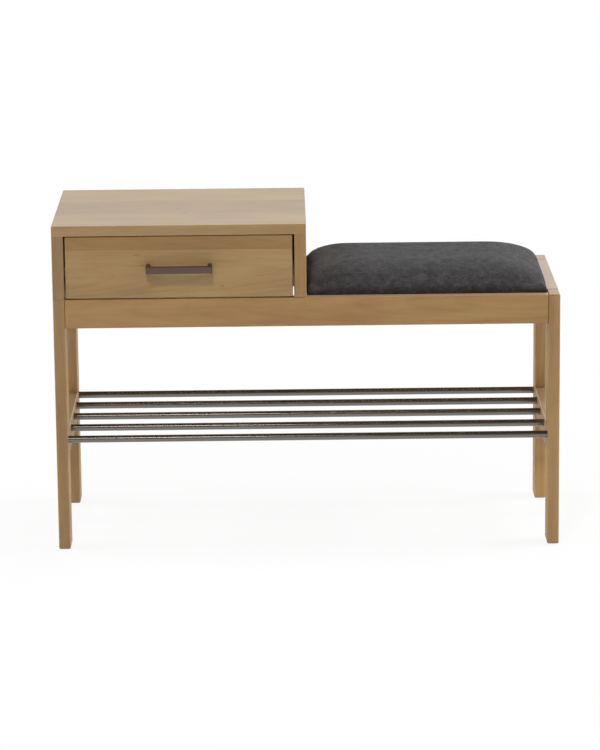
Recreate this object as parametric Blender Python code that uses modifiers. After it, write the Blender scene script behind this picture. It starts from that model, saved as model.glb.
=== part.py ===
"""Shoe storage bench: a drawer cabinet and a drop-in seat pad on a leg frame with a rod shoe rack.

Metres, +Z up. X runs along the bench, -Y is the front, and the origin is on the floor under the
middle of the whole bench, with the drawer pull counted in its depth.
"""
import math

import bmesh
import bpy
from mathutils import Vector

# Overall size, without the drawer pull
WIDTH = 0.850
DEPTH = 0.350
HEIGHT = 0.560

# General fits and edges
FIT = 0.0003  # gap between two pieces that touch
EDGE = 0.0015  # eased edge of solid wood
PANEL_EDGE = 0.0005  # eased edge of thin panels
CUT_OVERRUN = 0.002  # how far an open cut runs past the face it starts from
WELD = 0.00001  # points closer than this are one point

# Legs and seat rails
LEG_WIDTH = 0.020  # along X
LEG_DEPTH = 0.050  # along Y
RAIL_TOP = 0.435  # floor to the top of legs and seat rails
RAIL_HEIGHT = 0.049
RAIL_THICK = 0.020
TENON_THICK = 0.008
TENON_SHOULDER = 0.008  # rail left above and below its tenon
MORTISE_FLOOR = 0.006  # wood left behind a mortise or a rod bore
MIDDLE_TENON = 0.008  # length of the middle rail's tenons

# Foot glides
GLIDE_HEIGHT = 0.002
GLIDE_RADIUS = 0.008
GLIDE_STEM_RADIUS = 0.002
GLIDE_STEM = 0.012

# Shoe rack
RACK_RAIL_HEIGHT = 0.045
ROD_AXIS_HEIGHT = 0.192
ROD_EDGE = 0.0125  # rod axis to the outer face or top edge of its wood
ROD_RADIUS = 0.006
ROD_WALL = 0.001
ROD_COUNT = 5

# Drawer cabinet
CABINET_WIDTH = 0.425
TOP_THICK = 0.017
SIDE_THICK = 0.020
BACK_THICK = 0.005
BACK_REBATE = 0.006
TONGUE_HEIGHT = 0.008
TONGUE_SETBACK = 0.060  # tongue ends to the cabinet's front and back

# Drawer
GAP_SIDE = 0.002
GAP_ABOVE = 0.002
GAP_BELOW = 0.002
FRONT_THICK = 0.018
DRAWER_LENGTH = 0.285  # behind the drawer front
DRAWER_WALL = 0.012
DRAWER_LIFT = 0.0043  # rail top to the drawer's lower edge
DRAWER_HEADROOM = 0.0237  # drawer's upper edge to the cabinet top
BACK_DROP = 0.006  # drawer back below the drawer sides
HOUSING_DEPTH = 0.006
HOUSING_THICK = 0.006
HOUSING_SHARE = 0.16  # part of the drawer back's height left above and below a tongue
PANEL_THICK = 0.004
PANEL_GROOVE = 0.005
PANEL_LIFT = 0.0065  # lower edge of the sides to the bottom panel

# Drawer pull: a flat bar bent into a U
PULL_LENGTH = 0.110
PULL_HEIGHT = 0.012
PULL_REACH = 0.028
PULL_BAR = 0.007
PULL_POST = 0.007
PULL_CORNER = 0.003
PULL_CORNER_STEPS = 3
PULL_SCREW_GRIP = 0.012  # screw length inside the post

# Roller runners
RUNNER_SPACE = 0.0125  # cabinet side to drawer side
RUNNER_STEEL = 0.001
RUNNER_SETBACK = 0.003  # drawer front to the runners
CHANNEL_LENGTH = 0.300
CHANNEL_HEIGHT = 0.014
CHANNEL_WIDTH = 0.0083
CHANNEL_MOUTH = 0.024  # open stretch of the upper flange
CARRIER_SHORTFALL = 0.006  # carrier's rear end to the drawer's rear end
CARRIER_FLANGE = 0.008
CARRIER_KERF = 0.0035  # how far the carrier's foot enters the drawer side
FRONT_ROLLER_RADIUS = 0.0063
REAR_ROLLER_RADIUS = 0.0055
ROLLER_WIDTH = 0.0045
ROLLER_END = 0.011  # roller axis to the end of its runner
RIVET_RADIUS = 0.0015
RIVET_HEAD_RADIUS = 0.0026
RIVET_HEAD = 0.0008
RUNNER_SCREW_LENGTH = 0.009
RUNNER_SCREW_INSET = 0.060  # screw to the end of its runner

# Screws
SCREW_RADIUS = 0.0015
SCREW_HEAD_RADIUS = 0.003
SCREW_HEAD = 0.001
BOLT_RADIUS = 0.002
BOLT_HEAD_RADIUS = 0.004
BOLT_HEAD = 0.0025

# Drop-in seat
CLEAT = 0.018
CLEAT_TOP = 0.0195  # rail top down to the cleat
SEAT_BOARD = 0.012
SEAT_MARGIN = 0.0015  # play round the seat inside the frame
PAD_CROWN = 0.046  # pad's highest point above the rail top
PAD_SHOULDER_RUN = 0.062
PAD_SHOULDER_FALL = 0.030
PAD_TUCK = 0.004  # how far the cover draws in under the pad
PAD_CORNER = 0.018
PAD_CORNER_POWER = 4  # how squarely the shoulders of two sides meet
PAD_SIDE_ROWS = (0.3, 0.65)  # cage rows up the pad's side, as shares of its height
SEAT_SCREW_GRIP = 0.008
SEAT_SCREW_INSET = 0.080

# Facets of round pieces
ROD_SIDES = 20
ROUND_SIDES = 16
SCREW_SIDES = 12

# Places worked out from the sizes above
FRONT = (PULL_REACH - DEPTH) / 2
BACK = FRONT + DEPTH
LEFT = -WIDTH / 2
RIGHT = WIDTH / 2
INNER_LEFT = LEFT + LEG_WIDTH
INNER_RIGHT = RIGHT - LEG_WIDTH
RAIL_BOTTOM = RAIL_TOP - RAIL_HEIGHT
LEG_FOOT = GLIDE_HEIGHT + FIT
BORE_DEPTH = LEG_WIDTH - MORTISE_FLOOR
TENON_CLEAR = max(ROD_EDGE + ROD_RADIUS, (RAIL_THICK + TENON_THICK) / 2)
END_TENON = LEG_DEPTH - TENON_CLEAR - MORTISE_FLOOR
RACK_TOP = ROD_AXIS_HEIGHT + ROD_EDGE
RACK_BOTTOM = RACK_TOP - RACK_RAIL_HEIGHT
CABINET_RIGHT = LEFT + CABINET_WIDTH
OPEN_LEFT = LEFT + SIDE_THICK
OPEN_RIGHT = CABINET_RIGHT - SIDE_THICK
TOP_UNDER = HEIGHT - TOP_THICK
FRONT_ROLLER_AXIS = CHANNEL_HEIGHT + FIT - FRONT_ROLLER_RADIUS
REAR_ROLLER_AXIS = RUNNER_STEEL + FIT + REAR_ROLLER_RADIUS
CARRIER_UNDER = FRONT_ROLLER_AXIS + FRONT_ROLLER_RADIUS + FIT
CARRIER_TOP = CARRIER_UNDER + RUNNER_STEEL
CARRIER_FOOT = 2 * RUNNER_STEEL
DRAWER_FLOOR = RAIL_TOP + DRAWER_LIFT
DRAWER_TOP = TOP_UNDER - DRAWER_HEADROOM
CHANNEL_BOTTOM = (DRAWER_FLOOR + DRAWER_TOP - CHANNEL_HEIGHT) / 2
DRAWER_BEHIND = FRONT + FRONT_THICK
DRAWER_REAR = DRAWER_BEHIND + DRAWER_LENGTH
DRAWER_LEFT = OPEN_LEFT + RUNNER_SPACE
DRAWER_RIGHT = OPEN_RIGHT - RUNNER_SPACE
PANEL_BOTTOM = DRAWER_FLOOR + PANEL_LIFT
PANEL_TOP = PANEL_BOTTOM + PANEL_THICK
RUNNER_FRONT = DRAWER_BEHIND + RUNNER_SETBACK
SEAT_LEFT = CABINET_RIGHT + SEAT_MARGIN
SEAT_RIGHT = INNER_RIGHT - SEAT_MARGIN
SEAT_FRONT = FRONT + RAIL_THICK + SEAT_MARGIN
SEAT_REAR = BACK - RAIL_THICK - SEAT_MARGIN
CLEAT_HIGH = RAIL_TOP - CLEAT_TOP
BOARD_LOW = CLEAT_HIGH + FIT
BOARD_HIGH = BOARD_LOW + SEAT_BOARD
PAD_LOW = BOARD_HIGH + FIT


def clear_scene():
    """Remove whatever the opened file holds."""
    for old in list(bpy.data.objects):
        bpy.data.objects.remove(old, do_unlink=True)


def new_collection(name):
    """Make a collection in the scene."""
    made = bpy.data.collections.new(name)
    bpy.context.scene.collection.children.link(made)
    return made


def finish(name, colour, roughness, metallic=0.0):
    """Make a plain Principled material."""
    made = bpy.data.materials.new(name)
    made.use_nodes = True
    shader = made.node_tree.nodes["Principled BSDF"]
    shader.inputs["Base Color"].default_value = (*colour, 1.0)
    shader.inputs["Roughness"].default_value = roughness
    shader.inputs["Metallic"].default_value = metallic
    return made


clear_scene()
PARTS = new_collection("shoe_storage_bench")
TOOLS = new_collection("cutters")
WOOD = finish("wood", (0.42, 0.27, 0.13), 0.45)
PLYWOOD = finish("plywood", (0.50, 0.36, 0.20), 0.55)
STEEL_ROD = finish("rod_steel", (0.55, 0.52, 0.49), 0.18, 1.0)
PULL_STEEL = finish("pull_steel", (0.30, 0.27, 0.24), 0.35, 1.0)
COATED_STEEL = finish("coated_steel", (0.82, 0.77, 0.68), 0.35)
NYLON = finish("nylon", (0.75, 0.74, 0.70), 0.45)
ZINC = finish("zinc", (0.60, 0.60, 0.60), 0.35, 1.0)
FABRIC = finish("fabric", (0.065, 0.063, 0.064), 0.95)
GLIDE_PLASTIC = finish("glide_plastic", (0.20, 0.17, 0.14), 0.6)


def place(made, mat, parent=None):
    """Put a finished piece in the bench's collection, under its parent's origin."""
    PARTS.objects.link(made)
    made.data.materials.append(mat)
    attach(made, parent)
    return made


def attach(made, parent):
    """Parent an object that is already at its world place."""
    if parent is not None:
        made.parent = parent
        made.location = made.location - parent.location


def box_object(name, low, high):
    """A cube primitive at the size and place of the box between two corners."""
    low = Vector(low)
    high = Vector(high)
    mesh = bpy.data.meshes.new(name)
    bm = bmesh.new()
    bmesh.ops.create_cube(bm, size=1.0)
    bmesh.ops.scale(bm, vec=high - low, verts=bm.verts)
    bm.to_mesh(mesh)
    bm.free()
    made = bpy.data.objects.new(name, mesh)
    made.location = (low + high) / 2
    return made


def round_object(name, start, end, radius, sides=ROUND_SIDES):
    """A closed cylinder from start to end."""
    start = Vector(start)
    end = Vector(end)
    mesh = bpy.data.meshes.new(name)
    bm = bmesh.new()
    bmesh.ops.create_cone(bm, cap_ends=True, segments=sides, radius1=radius, radius2=radius,
                          depth=(end - start).length)
    bm.to_mesh(mesh)
    bm.free()
    made = bpy.data.objects.new(name, mesh)
    made.location = (start + end) / 2
    made.rotation_euler = (end - start).to_track_quat("Z", "Y").to_euler()
    return made


def board(name, low, high, mat=WOOD, parent=None, edge=EDGE):
    """A board with eased edges."""
    made = place(box_object(name, low, high), mat, parent)
    bevel = made.modifiers.new("eased_edges", "BEVEL")
    bevel.width = edge
    bevel.segments = 1
    return made


def shape_with(target, tool, operation):
    """Cut a tool out of a piece, or join it on; the tool stays hidden and moves with the piece."""
    TOOLS.objects.link(tool)
    tool.hide_render = True
    tool.display_type = "WIRE"
    attach(tool, target.parent)
    step = target.modifiers.new(tool.name, "BOOLEAN")
    step.operation = operation
    step.solver = "EXACT"
    step.object = tool


def cut_box(target, label, low, high):
    """Cut a rectangular mortise, groove or rebate."""
    shape_with(target, box_object(f"{target.name}_{label}", low, high), "DIFFERENCE")


def cut_round(target, label, start, end, radius, sides=ROUND_SIDES):
    """Drill a round hole."""
    tool = round_object(f"{target.name}_{label}", start, end, radius, sides)
    shape_with(target, tool, "DIFFERENCE")


def join_round(target, label, start, end, radius, sides=SCREW_SIDES):
    """Add a round stud that is one with its piece."""
    tool = round_object(f"{target.name}_{label}", start, end, radius, sides)
    shape_with(target, tool, "UNION")


def house(male, females, label, low, high):
    """Give one piece a tenon or tongue, and cut its seat in the pieces that it enters."""
    shape_with(male, box_object(f"{male.name}_{label}", low, high), "UNION")
    seat_low = [value - FIT for value in low]
    seat_high = [value + FIT for value in high]
    for female in females:
        cut_box(female, f"{male.name}_{label}_seat", seat_low, seat_high)


def turned(name, profile, mat, parent=None, sides=ROUND_SIDES, closed=False):
    """A profile of (radius, height) points, listed down its outer side, turned about local Z."""
    mesh = bpy.data.meshes.new(name)
    points = [(radius, 0.0, height) for radius, height in profile]
    edges = [(i, i + 1) for i in range(len(points) - 1)]
    if closed:
        edges.append((len(points) - 1, 0))
    mesh.from_pydata(points, edges, [])
    made = bpy.data.objects.new(name, mesh)
    screw = made.modifiers.new("turn", "SCREW")
    screw.angle = math.tau
    screw.steps = sides
    screw.render_steps = sides
    screw.use_merge_vertices = True
    screw.merge_threshold = WELD
    screw.use_smooth_shade = True
    return place(made, mat, parent)


def ring(name, inner, outer, length, mat, parent=None, sides=ROUND_SIDES):
    """A tube or roller about local Z, centred on its origin."""
    half = length / 2
    profile = [(inner, half), (outer, half), (outer, -half), (inner, -half)]
    return turned(name, profile, mat, parent, sides, closed=True)


def move_to(made, point, along=None):
    """Set a turned piece at a world point, with its local Z along a direction."""
    origin = made.parent.location if made.parent else Vector((0.0, 0.0, 0.0))
    made.location = Vector(point) - origin
    if along is not None:
        made.rotation_euler = Vector(along).to_track_quat("Z", "Y").to_euler()


def screw_piece(name, seat, out, sizes, length, parent=None):
    """A pan-head screw whose head bears on the point seat and leaves it along out."""
    radius, head_radius, head = sizes
    profile = [
        (0.0, head),
        (head_radius - head / 2, head),
        (head_radius, head / 2),
        (head_radius, 0.0),
        (radius, 0.0),
        (radius, radius - length),
        (0.0, -length),
    ]
    made = turned(name, profile, ZINC, parent, SCREW_SIDES)
    move_to(made, Vector(seat) + Vector(out) * FIT, out)
    return made


def screw_hole(targets, label, seat, out, radius, length):
    """Drill the clearance hole of a screw through or into each target."""
    seat = Vector(seat)
    out = Vector(out)
    for target in targets:
        cut_round(target, label, seat + out * CUT_OVERRUN, seat - out * (length + FIT),
                  radius + FIT, SCREW_SIDES)


def extrusion(name, outline, length, mat, parent=None):
    """A flat outline in local XY carried along local Z, centred on its origin."""
    curve = bpy.data.curves.new(name, "CURVE")
    curve.dimensions = "2D"
    curve.fill_mode = "BOTH"
    curve.extrude = length / 2
    spline = curve.splines.new("POLY")
    spline.points.add(len(outline) - 1)
    for point, (x, y) in zip(spline.points, outline):
        point.co = (x, y, 0.0, 1.0)
    spline.use_cyclic_u = True
    flat = bpy.data.objects.new(f"{name}_outline", curve)
    TOOLS.objects.link(flat)
    evaluated = flat.evaluated_get(bpy.context.evaluated_depsgraph_get())
    mesh = bpy.data.meshes.new_from_object(evaluated)
    bpy.data.objects.remove(flat, do_unlink=True)
    mesh.materials.clear()
    bm = bmesh.new()
    bm.from_mesh(mesh)
    bmesh.ops.remove_doubles(bm, verts=bm.verts, dist=WELD)
    bmesh.ops.recalc_face_normals(bm, faces=bm.faces)
    bm.to_mesh(mesh)
    bm.free()
    return place(bpy.data.objects.new(name, mesh), mat, parent)


def build_legs():
    """Four legs, each on a nailed glide."""
    legs = {}
    for side, low_x in (("left", LEFT), ("right", RIGHT - LEG_WIDTH)):
        for end, low_y in (("front", FRONT), ("rear", BACK - LEG_DEPTH)):
            leg = board(f"{end}_{side}_leg", (low_x, low_y, LEG_FOOT),
                        (low_x + LEG_WIDTH, low_y + LEG_DEPTH, RAIL_TOP))
            legs[end, side] = leg
            build_glide(f"{end}_{side}_glide", leg, low_x + LEG_WIDTH / 2, low_y + LEG_DEPTH / 2)
    return legs


def build_glide(name, leg, x, y):
    """A plastic foot disc with its nail stem in the leg."""
    stem_top = GLIDE_HEIGHT + GLIDE_STEM
    lip = GLIDE_HEIGHT / 3
    profile = [
        (0.0, stem_top),
        (GLIDE_STEM_RADIUS, stem_top),
        (GLIDE_STEM_RADIUS, GLIDE_HEIGHT),
        (GLIDE_RADIUS, GLIDE_HEIGHT),
        (GLIDE_RADIUS, lip),
        (GLIDE_RADIUS - lip, 0.0),
        (0.0, 0.0),
    ]
    glide = turned(name, profile, GLIDE_PLASTIC)
    move_to(glide, (x, y, 0.0))
    cut_round(leg, "glide_hole", (x, y, LEG_FOOT - CUT_OVERRUN), (x, y, stem_top + FIT),
              GLIDE_STEM_RADIUS + FIT)


def build_seat_rails(legs):
    """Front, rear and end rails tenoned into the legs, and the middle rail under the cabinet side."""
    long_rails = {}
    tenon_low = RAIL_BOTTOM + TENON_SHOULDER
    tenon_high = RAIL_TOP - TENON_SHOULDER
    reach = BORE_DEPTH - FIT
    for end, low_y in (("front", FRONT), ("rear", BACK - RAIL_THICK)):
        rail = board(f"{end}_rail", (INNER_LEFT + FIT, low_y, RAIL_BOTTOM),
                     (INNER_RIGHT - FIT, low_y + RAIL_THICK, RAIL_TOP))
        middle = low_y + RAIL_THICK / 2
        house(rail, [legs[end, "left"], legs[end, "right"]], "tenons",
              (INNER_LEFT - reach, middle - TENON_THICK / 2, tenon_low),
              (INNER_RIGHT + reach, middle + TENON_THICK / 2, tenon_high))
        long_rails[end] = rail
    end_rails = {}
    for side, low_x in (("left", LEFT), ("right", RIGHT - LEG_WIDTH)):
        end_rails[side] = cross_rail(f"{side}_end_rail", legs, side, low_x, RAIL_BOTTOM, RAIL_TOP)
    inside_front = FRONT + RAIL_THICK
    inside_rear = BACK - RAIL_THICK
    middle_rail = board("middle_rail", (OPEN_RIGHT, inside_front + FIT, RAIL_BOTTOM),
                        (CABINET_RIGHT, inside_rear - FIT, RAIL_TOP))
    centre = (OPEN_RIGHT + CABINET_RIGHT) / 2
    house(middle_rail, list(long_rails.values()), "tenons",
          (centre - TENON_THICK / 2, inside_front - MIDDLE_TENON, tenon_low),
          (centre + TENON_THICK / 2, inside_rear + MIDDLE_TENON, tenon_high))
    return end_rails, middle_rail


def cross_rail(name, legs, side, low_x, low_z, high_z):
    """A rail between the front and rear legs of one side."""
    rail = board(name, (low_x, FRONT + LEG_DEPTH + FIT, low_z),
                 (low_x + LEG_WIDTH, BACK - LEG_DEPTH - FIT, high_z))
    centre = low_x + LEG_WIDTH / 2
    house(rail, [legs["front", side], legs["rear", side]], "tenons",
          (centre - TENON_THICK / 2, FRONT + LEG_DEPTH - END_TENON, low_z + TENON_SHOULDER),
          (centre + TENON_THICK / 2, BACK - LEG_DEPTH + END_TENON, high_z - TENON_SHOULDER))
    return rail


def build_rack(legs):
    """Two rack rails and the steel tubes held in blind bores between the two sides."""
    rack_rails = {}
    for side, low_x in (("left", LEFT), ("right", RIGHT - LEG_WIDTH)):
        rack_rails[side] = cross_rail(f"{side}_rack_rail", legs, side, low_x, RACK_BOTTOM, RACK_TOP)
    reach = BORE_DEPTH - FIT
    pitch = (DEPTH - 2 * ROD_EDGE) / (ROD_COUNT - 1)
    for number in range(ROD_COUNT):
        y = FRONT + ROD_EDGE + number * pitch
        rod = ring(f"rack_rod_{number + 1}", ROD_RADIUS - ROD_WALL, ROD_RADIUS,
                   INNER_RIGHT - INNER_LEFT + 2 * reach, STEEL_ROD, sides=ROD_SIDES)
        move_to(rod, (0.0, y, ROD_AXIS_HEIGHT), (1.0, 0.0, 0.0))
        for side, face, sign in (("left", INNER_LEFT, -1), ("right", INNER_RIGHT, 1)):
            holder = rack_rails[side]
            if y < FRONT + LEG_DEPTH:
                holder = legs["front", side]
            if y > BACK - LEG_DEPTH:
                holder = legs["rear", side]
            cut_round(holder, f"rod_bore_{number + 1}",
                      (face - sign * CUT_OVERRUN, y, ROD_AXIS_HEIGHT),
                      (face + sign * BORE_DEPTH, y, ROD_AXIS_HEIGHT), ROD_RADIUS + FIT, ROD_SIDES)


def build_cabinet(left_end_rail, middle_rail):
    """Top, two sides tongued into the top and the rails, and a back panel in rebates."""
    top = board("cabinet_top", (LEFT, FRONT, TOP_UNDER), (CABINET_RIGHT, BACK, HEIGHT))
    rebate_front = BACK - BACK_THICK - 2 * FIT
    cut_box(top, "back_rebate", (OPEN_LEFT - BACK_REBATE, rebate_front, TOP_UNDER - CUT_OVERRUN),
            (OPEN_RIGHT + BACK_REBATE, BACK + CUT_OVERRUN, TOP_UNDER + BACK_REBATE))
    sides = {}
    for side, low_x, carrier, inner, sign in (
            ("left", LEFT, left_end_rail, OPEN_LEFT, -1),
            ("right", OPEN_RIGHT, middle_rail, OPEN_RIGHT, 1)):
        panel = board(f"cabinet_{side}_side", (low_x, FRONT, RAIL_TOP + FIT),
                      (low_x + SIDE_THICK, BACK, TOP_UNDER - FIT))
        centre = low_x + SIDE_THICK / 2
        house(panel, [carrier, top], "tongues",
              (centre - TENON_THICK / 2, FRONT + TONGUE_SETBACK, RAIL_TOP - TONGUE_HEIGHT),
              (centre + TENON_THICK / 2, BACK - TONGUE_SETBACK, TOP_UNDER + TONGUE_HEIGHT))
        edges = sorted((inner + sign * BACK_REBATE, inner - sign * CUT_OVERRUN))
        cut_box(panel, "back_rebate", (edges[0], rebate_front, RAIL_TOP - CUT_OVERRUN),
                (edges[1], BACK + CUT_OVERRUN, TOP_UNDER + CUT_OVERRUN))
        sides[side] = panel
    board("cabinet_back",
          (OPEN_LEFT - BACK_REBATE + FIT, BACK - BACK_THICK - FIT, RAIL_TOP + FIT),
          (OPEN_RIGHT + BACK_REBATE - FIT, BACK - FIT, TOP_UNDER + BACK_REBATE - FIT),
          PLYWOOD, edge=PANEL_EDGE)
    return sides


def build_drawer(drawer):
    """Drawer front, sides and back housed together, with a panel floor in grooves."""
    front = board("drawer_front", (OPEN_LEFT + GAP_SIDE, FRONT, RAIL_TOP + GAP_BELOW),
                  (OPEN_RIGHT - GAP_SIDE, DRAWER_BEHIND, TOP_UNDER - GAP_ABOVE), parent=drawer)
    inside_left = DRAWER_LEFT + DRAWER_WALL
    inside_right = DRAWER_RIGHT - DRAWER_WALL
    back_top = DRAWER_TOP - BACK_DROP
    housing_low = PANEL_TOP + HOUSING_SHARE * (back_top - PANEL_TOP)
    housing_high = back_top - HOUSING_SHARE * (back_top - PANEL_TOP)
    walls = {}
    for side, low_x in (("left", DRAWER_LEFT), ("right", inside_right)):
        wall = board(f"drawer_{side}_side", (low_x, DRAWER_BEHIND + FIT, DRAWER_FLOOR),
                     (low_x + DRAWER_WALL, DRAWER_REAR, DRAWER_TOP), parent=drawer)
        centre = low_x + DRAWER_WALL / 2
        house(wall, [front], "front_tongue",
              (centre - HOUSING_THICK / 2, DRAWER_BEHIND - HOUSING_DEPTH, housing_low),
              (centre + HOUSING_THICK / 2, DRAWER_BEHIND + HOUSING_DEPTH, housing_high))
        walls[side] = wall
    back = board("drawer_back", (inside_left + FIT, DRAWER_REAR - DRAWER_WALL, PANEL_TOP + FIT),
                 (inside_right - FIT, DRAWER_REAR, back_top), parent=drawer)
    back_middle = DRAWER_REAR - DRAWER_WALL / 2
    house(back, list(walls.values()), "side_tongues",
          (inside_left - HOUSING_DEPTH, back_middle - HOUSING_THICK / 2, housing_low),
          (inside_right + HOUSING_DEPTH, back_middle + HOUSING_THICK / 2, housing_high))
    board("drawer_bottom",
          (inside_left - PANEL_GROOVE + FIT, DRAWER_BEHIND - PANEL_GROOVE + FIT, PANEL_BOTTOM),
          (inside_right + PANEL_GROOVE - FIT, DRAWER_REAR, PANEL_TOP), PLYWOOD, drawer, PANEL_EDGE)
    groove_low = PANEL_BOTTOM - FIT
    groove_high = PANEL_TOP + FIT
    cut_box(front, "panel_groove",
            (inside_left - PANEL_GROOVE, DRAWER_BEHIND - PANEL_GROOVE, groove_low),
            (inside_right + PANEL_GROOVE, DRAWER_BEHIND + CUT_OVERRUN, groove_high))
    for side, face, sign in (("left", inside_left, -1), ("right", inside_right, 1)):
        edges = sorted((face + sign * PANEL_GROOVE, face - sign * CUT_OVERRUN))
        cut_box(walls[side], "panel_groove", (edges[0], DRAWER_BEHIND - CUT_OVERRUN, groove_low),
                (edges[1], DRAWER_REAR + CUT_OVERRUN, groove_high))
    build_pull(drawer, front)
    return walls


def pull_outline():
    """The pull seen from above: a U whose two front corners are rounded, posts on the drawer front."""
    half = PULL_LENGTH / 2
    reach = PULL_REACH - FIT
    outline = [(half - PULL_POST, 0.0), (half - PULL_POST, PULL_BAR - reach),
               (PULL_POST - half, PULL_BAR - reach), (PULL_POST - half, 0.0), (-half, 0.0)]
    for centre_x, start in ((PULL_CORNER - half, math.pi), (half - PULL_CORNER, 1.5 * math.pi)):
        for step in range(PULL_CORNER_STEPS + 1):
            angle = start + step * math.pi / 2 / PULL_CORNER_STEPS
            outline.append((centre_x + PULL_CORNER * math.cos(angle),
                            PULL_CORNER - reach + PULL_CORNER * math.sin(angle)))
    outline.append((half, 0.0))
    return outline


def build_pull(drawer, front):
    """The pull and the two bolts that hold it from inside the drawer."""
    centre_x = (OPEN_LEFT + OPEN_RIGHT) / 2
    centre_z = (RAIL_TOP + GAP_BELOW + TOP_UNDER - GAP_ABOVE) / 2
    pull = extrusion("drawer_pull", pull_outline(), PULL_HEIGHT, PULL_STEEL, drawer)
    move_to(pull, (centre_x, FRONT - FIT, centre_z))
    length = FRONT_THICK + PULL_SCREW_GRIP
    for side, sign in (("left", -1), ("right", 1)):
        seat = (centre_x + sign * (PULL_LENGTH - PULL_POST) / 2, DRAWER_BEHIND, centre_z)
        inward = (0.0, 1.0, 0.0)
        screw_piece(f"pull_{side}_bolt", seat, inward, (BOLT_RADIUS, BOLT_HEAD_RADIUS, BOLT_HEAD),
                    length, drawer)
        screw_hole([front, pull], f"{side}_bolt_hole", seat, inward, BOLT_RADIUS, length)


def channel_outline(sign):
    """Cabinet member of a runner: a C open towards the drawer, from the cabinet side and its bottom."""
    inner = FIT + RUNNER_STEEL
    reach = FIT + CHANNEL_WIDTH
    low = RUNNER_STEEL
    high = CHANNEL_HEIGHT - RUNNER_STEEL
    points = [(FIT, 0.0), (reach, 0.0), (reach, low), (inner, low),
              (inner, high), (reach, high), (reach, CHANNEL_HEIGHT), (FIT, CHANNEL_HEIGHT)]
    return [(sign * x, z) for x, z in points]


def carrier_outline(sign):
    """Drawer member of a runner: a Z with its foot in the drawer side, measured as the channel."""
    web_outer = RUNNER_SPACE - FIT - RUNNER_STEEL
    web_inner = RUNNER_SPACE - FIT
    foot = RUNNER_SPACE + CARRIER_KERF
    arm = web_outer - CARRIER_FLANGE
    points = [(foot, CARRIER_FOOT), (foot, CARRIER_FOOT + RUNNER_STEEL),
              (web_inner, CARRIER_FOOT + RUNNER_STEEL), (web_inner, CARRIER_TOP),
              (arm, CARRIER_TOP), (arm, CARRIER_UNDER),
              (web_outer, CARRIER_UNDER), (web_outer, CARRIER_FOOT)]
    return [(sign * x, z) for x, z in points]


def runner_member(name, outline, face, low_y, length, parent=None):
    """One runner member: an outline in XZ carried along Y, from the cabinet side's face."""
    made = extrusion(name, outline, length, COATED_STEEL, parent)
    move_to(made, (face, low_y + length / 2, CHANNEL_BOTTOM))
    made.rotation_euler = (math.pi / 2, 0.0, 0.0)
    return made


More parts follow.
